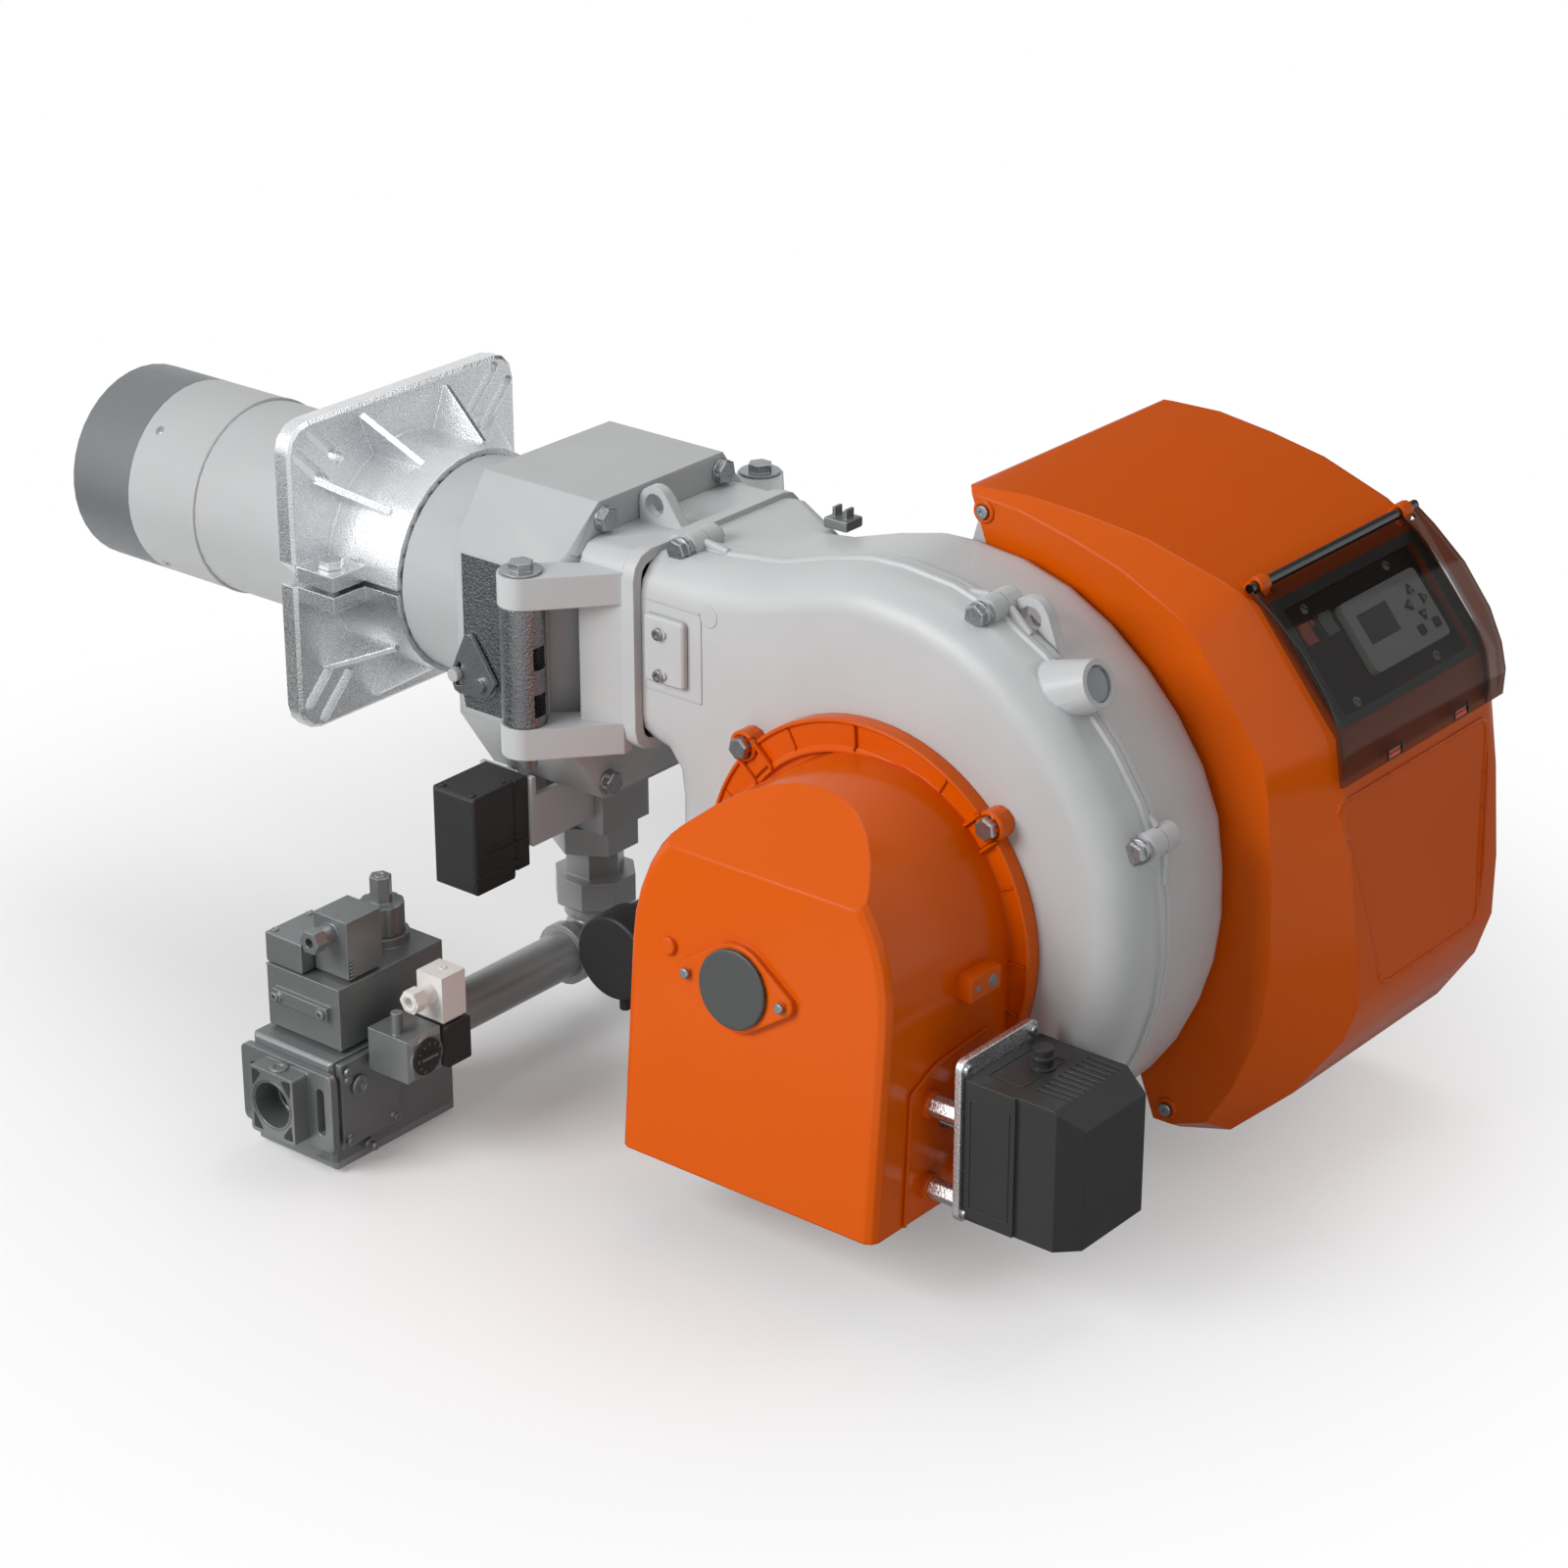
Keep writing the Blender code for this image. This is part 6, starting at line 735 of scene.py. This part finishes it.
for x, z in HOOD_SCREWS:
    screw(b, (x, HOOD_SCREW_Y, z), NEAR, 0.0056, 0.0022, 0.42, 4)
finished(b, "hood_screws", "housing", [zinc_finish], 30)
plate_plastic = surface("grey_plastic", linear(112, 116, 114), 0.45, grain=900, depth=0.00003, mottle=0.03, edge=0.3)
dressed("electrical_plate", plate_plastic)

# The control panel: a black plate with two rocker switches and a lamp, a display unit with its keys, and four slotted
# screws.
SLANT, PANEL_X, PANEL_Z = math.radians(50.1), 0.8275, 0.109
DOWN_PANEL = Vector((math.cos(SLANT), 0, -math.sin(SLANT)))
OUT_PANEL = Vector((math.sin(SLANT), 0, math.cos(SLANT)))


def on_panel(y, u, n):
    """a point of the panel: across, down the slope, and out of its face"""
    return Vector((PANEL_X, y, PANEL_Z)) + DOWN_PANEL * u + OUT_PANEL * n


panel_plastic = surface("black_panel_plastic", linear(40, 39, 38), 0.42, grain=1100, depth=0.00003, mottle=0.04,
                        edge=0.3, specular=0.2)
bezel_plastic = surface("bezel_plastic", linear(84, 90, 90), 0.5, grain=900, depth=0.00003, mottle=0.03, edge=0.2,
                        specular=0.2)
dressed("panel_bezel", bezel_plastic)
dressed("panel_plate", panel_plastic, 0.0005)
lamp_orange = surface("switch_orange", linear(226, 84, 10), 0.3, grain=600, depth=0.00001, mottle=0.02, coat=0.3)
dressed("power_switch", lamp_orange, 0.0004)
switch_plastic = surface("grey_switch_plastic", linear(124, 128, 126), 0.4, grain=900, depth=0.00002, mottle=0.03,
                         edge=0.3)
dressed("mode_switch", switch_plastic, 0.0004)
# Set lighter than the unit's own plastic: painted light making up for the lid's shadow over it; the panel screws share
# it
unit_plastic_painted_light = surface("display_plastic_painted_light", linear(206, 212, 209), 0.42, grain=1000, depth=0.00003, mottle=0.03,
                       edge=0.4)
dressed("display_unit", unit_plastic_painted_light, 0.0005)
key_rubber = surface("dark_key_rubber", linear(52, 53, 54), 0.5, grain=1200, depth=0.00003, mottle=0.03, edge=0.3)
for node in ("up_key", "left_key", "right_key", "down_key", "escape_key", "enter_key"):
    dressed(node, key_rubber, 0.0003)
SCREW_AT, SLOT_HALF = ((0.156, 0.0178), (0.277, 0.0175), (0.275, 0.1001), (0.155, 0.1007)), 0.0026
SCREW_FOOT, SLOT_HEIGHT, PLATE_HEIGHT, SCREEN_HEIGHT = -0.0062, -0.00425, -0.0061, 0.00052
b = bmesh.new()
for y, u in SCREW_AT:
    turned(b, on_panel(y, u, SCREW_FOOT), OUT_PANEL,
           ((0.0042, 0), (0.0042, 0.0010), (0.0037, 0.0017), (0.0022, 0.0021), (0, 0.0022)), 28)
grey_faces = len(b.faces)
# Each screw's slot is a thin dark strip on its head: painted shade for the slot
for y, u in SCREW_AT:
    rib(b, on_panel(y - SLOT_HALF, u - SLOT_HALF, SLOT_HEIGHT), on_panel(y + SLOT_HALF, u + SLOT_HALF, SLOT_HEIGHT),
        OUT_PANEL, 0.0011, 0.0004, 0.0)
for f in list(b.faces)[grey_faces:]:
    f.material_index = 1
finished(b, "panel_screws", "housing", [unit_plastic_painted_light, slot_painted_shade], 30)
b = bmesh.new()
for (y0, y1), (u0, u1) in (((0.1332, 0.1512), (0.0252, 0.0477)), ((0.1623, 0.1812), (0.0246, 0.0482))):
    for (ya, ua), (yb, ub) in closed(((y0, u0), (y1, u0), (y1, u1), (y0, u1))):
        rib(b, on_panel(ya, ua, PLATE_HEIGHT), on_panel(yb, ub, PLATE_HEIGHT), OUT_PANEL, 0.0013, 0.0018, 0.0004)
finished(b, "switch_frames", "housing", [switch_plastic], 30)
b = bmesh.new()
turned(b, on_panel(0.1558, 0.0303, PLATE_HEIGHT), OUT_PANEL,
       ((0.0032, 0), (0.0032, 0.0006), (0.0026, 0.0014), (0.0014, 0.0019), (0, 0.0020)), 24)
finished(b, "run_lamp", "housing", [lamp_orange], 50)
screen_dark = surface("display_screen", linear(44, 40, 40), 0.14, grain=400, depth=0.00001, mottle=0.02, coat=0.4)
b = bmesh.new()
rib(b, on_panel(0.2222, 0.0422, SCREEN_HEIGHT), on_panel(0.2222, 0.0681, SCREEN_HEIGHT), OUT_PANEL, 0.0436, 0.0003,
    0.0)
finished(b, "display_screen", "housing", [screen_dark], 30)
KEYS = (("up", 0.2785, 0.0437, 180), ("left", 0.2675, 0.0545, 90), ("right", 0.2890, 0.0545, 270),
        ("down", 0.2785, 0.0657, 0))
ARROW_RADIUS, ARROW_LIFT = 0.0030, 0.0030
glyph_light = surface("key_marking", linear(176, 180, 178), 0.5, grain=800, depth=0.00001, mottle=0.02)
lie = Matrix((Vector((0, 1, 0)), -DOWN_PANEL, OUT_PANEL)).transposed().to_4x4()
for key, y, u, degrees in KEYS:
    b = bmesh.new()
    arrow = bmesh.ops.create_cone(b, cap_ends=True, segments=3, radius1=ARROW_RADIUS, radius2=ARROW_RADIUS,
                                  depth=0.0004)["verts"]
    bmesh.ops.rotate(b, verts=arrow, cent=(0, 0, 0), matrix=Matrix.Rotation(math.radians(degrees), 3, "Z"))
    bmesh.ops.transform(b, matrix=Matrix.Translation(on_panel(y, u, ARROW_LIFT)) @ lie, verts=arrow)
    bmesh.ops.recalc_face_normals(b, faces=b.faces)
    finished(b, key + "_arrow", key, [glyph_light], 30)

# The lid: a smoked clear moulding over the panel, hinged on two hooks of the hood along its top edge and held by two
# latches at its foot. Its hinge rail and its rim show black, and its far wall is a more opaque, orange-brown copy of
# the smoked plastic: painted shade for the wall seen edge-on over the orange hood.
SMOKED = {"Roughness": 0.06, "Specular IOR Level": 0.25}
smoked = plain("smoked_clear_plastic", {"Base Color": linear(28, 19, 14), "Alpha": 0.38, **SMOKED})
rail_black = surface("black_rail", linear(30, 30, 30), 0.28, grain=900, depth=0.00001, mottle=0.03, coat=0.3)
far_wall_painted_shade = plain("smoked_clear_plastic", {"Base Color": linear(116, 66, 46), "Alpha": 0.84, **SMOKED})
HINGE_AT, RAIL_REACH, FAR_WALL = Vector((0.8205, 0.1225)), 0.0062, 0.3165
b = taken("panel_lid")
rounded(b, 0.0007, 50)
cut(b, (0, FAR_WALL, 0), (0, 1, 0))
for f in b.faces:
    middle = f.calc_center_median()
    if (Vector((middle.x, middle.z)) - HINGE_AT).length < RAIL_REACH:
        f.material_index = 1
    elif middle.y > FAR_WALL:
        f.material_index = 2
finished(b, "panel_lid_skin", "lid", [smoked, rail_black, far_wall_painted_shade], 34, ["panel_lid"])
LID_LINE = ((0.8225, 0.1205), (0.840, 0.1090), (0.870, 0.0835), (0.8955, 0.0510), (0.9080, 0.0245), (0.9132, 0.003))
LATCHES, LATCH_HALF, LATCH_FOOT, LATCH_TOP = (0.173, 0.274), 0.0098, -0.0165, -0.0090
LATCH_X, TONGUE_X = 0.9133, 0.9136
b = bmesh.new()
for y, way in ((0.0985, -1), (0.3415, 1)):
    for (x0, z0), (x1, z1) in zip(LID_LINE, LID_LINE[1:]):
        rib(b, (x0, y, z0), (x1, y, z1), (0, way, 0), 0.0016, 0.0009, 0.0003)
for y in LATCHES:
    left, right = y - LATCH_HALF, y + LATCH_HALF
    for y0, z0, y1, z1, tall in ((left, LATCH_FOOT, left, LATCH_TOP, 0.0013),
                                 (left, LATCH_TOP, right, LATCH_TOP, 0.0013),
                                 (right, LATCH_TOP + 0.002, right, LATCH_FOOT, 0.0022),
                                 (right, LATCH_FOOT, left, LATCH_FOOT, 0.0013)):
        rib(b, (LATCH_X, y0, z0), (LATCH_X, y1, z1), FRONT, 0.0015, tall, 0.0003)
finished(b, "lid_edging", "lid", [rail_black], 30)
b = bmesh.new()
for y in LATCHES:
    for z, width, tall, edge in ((-0.0143, 0.0030, 0.0012, 0.0004), (-0.0107, 0.0022, 0.0006, 0.0003)):
        rib(b, (TONGUE_X, y - LATCH_HALF + 0.001, z), (TONGUE_X, y + LATCH_HALF - 0.002, z), FRONT, width, tall, edge)
finished(b, "lid_latches", "lid", [lamp_orange], 30)
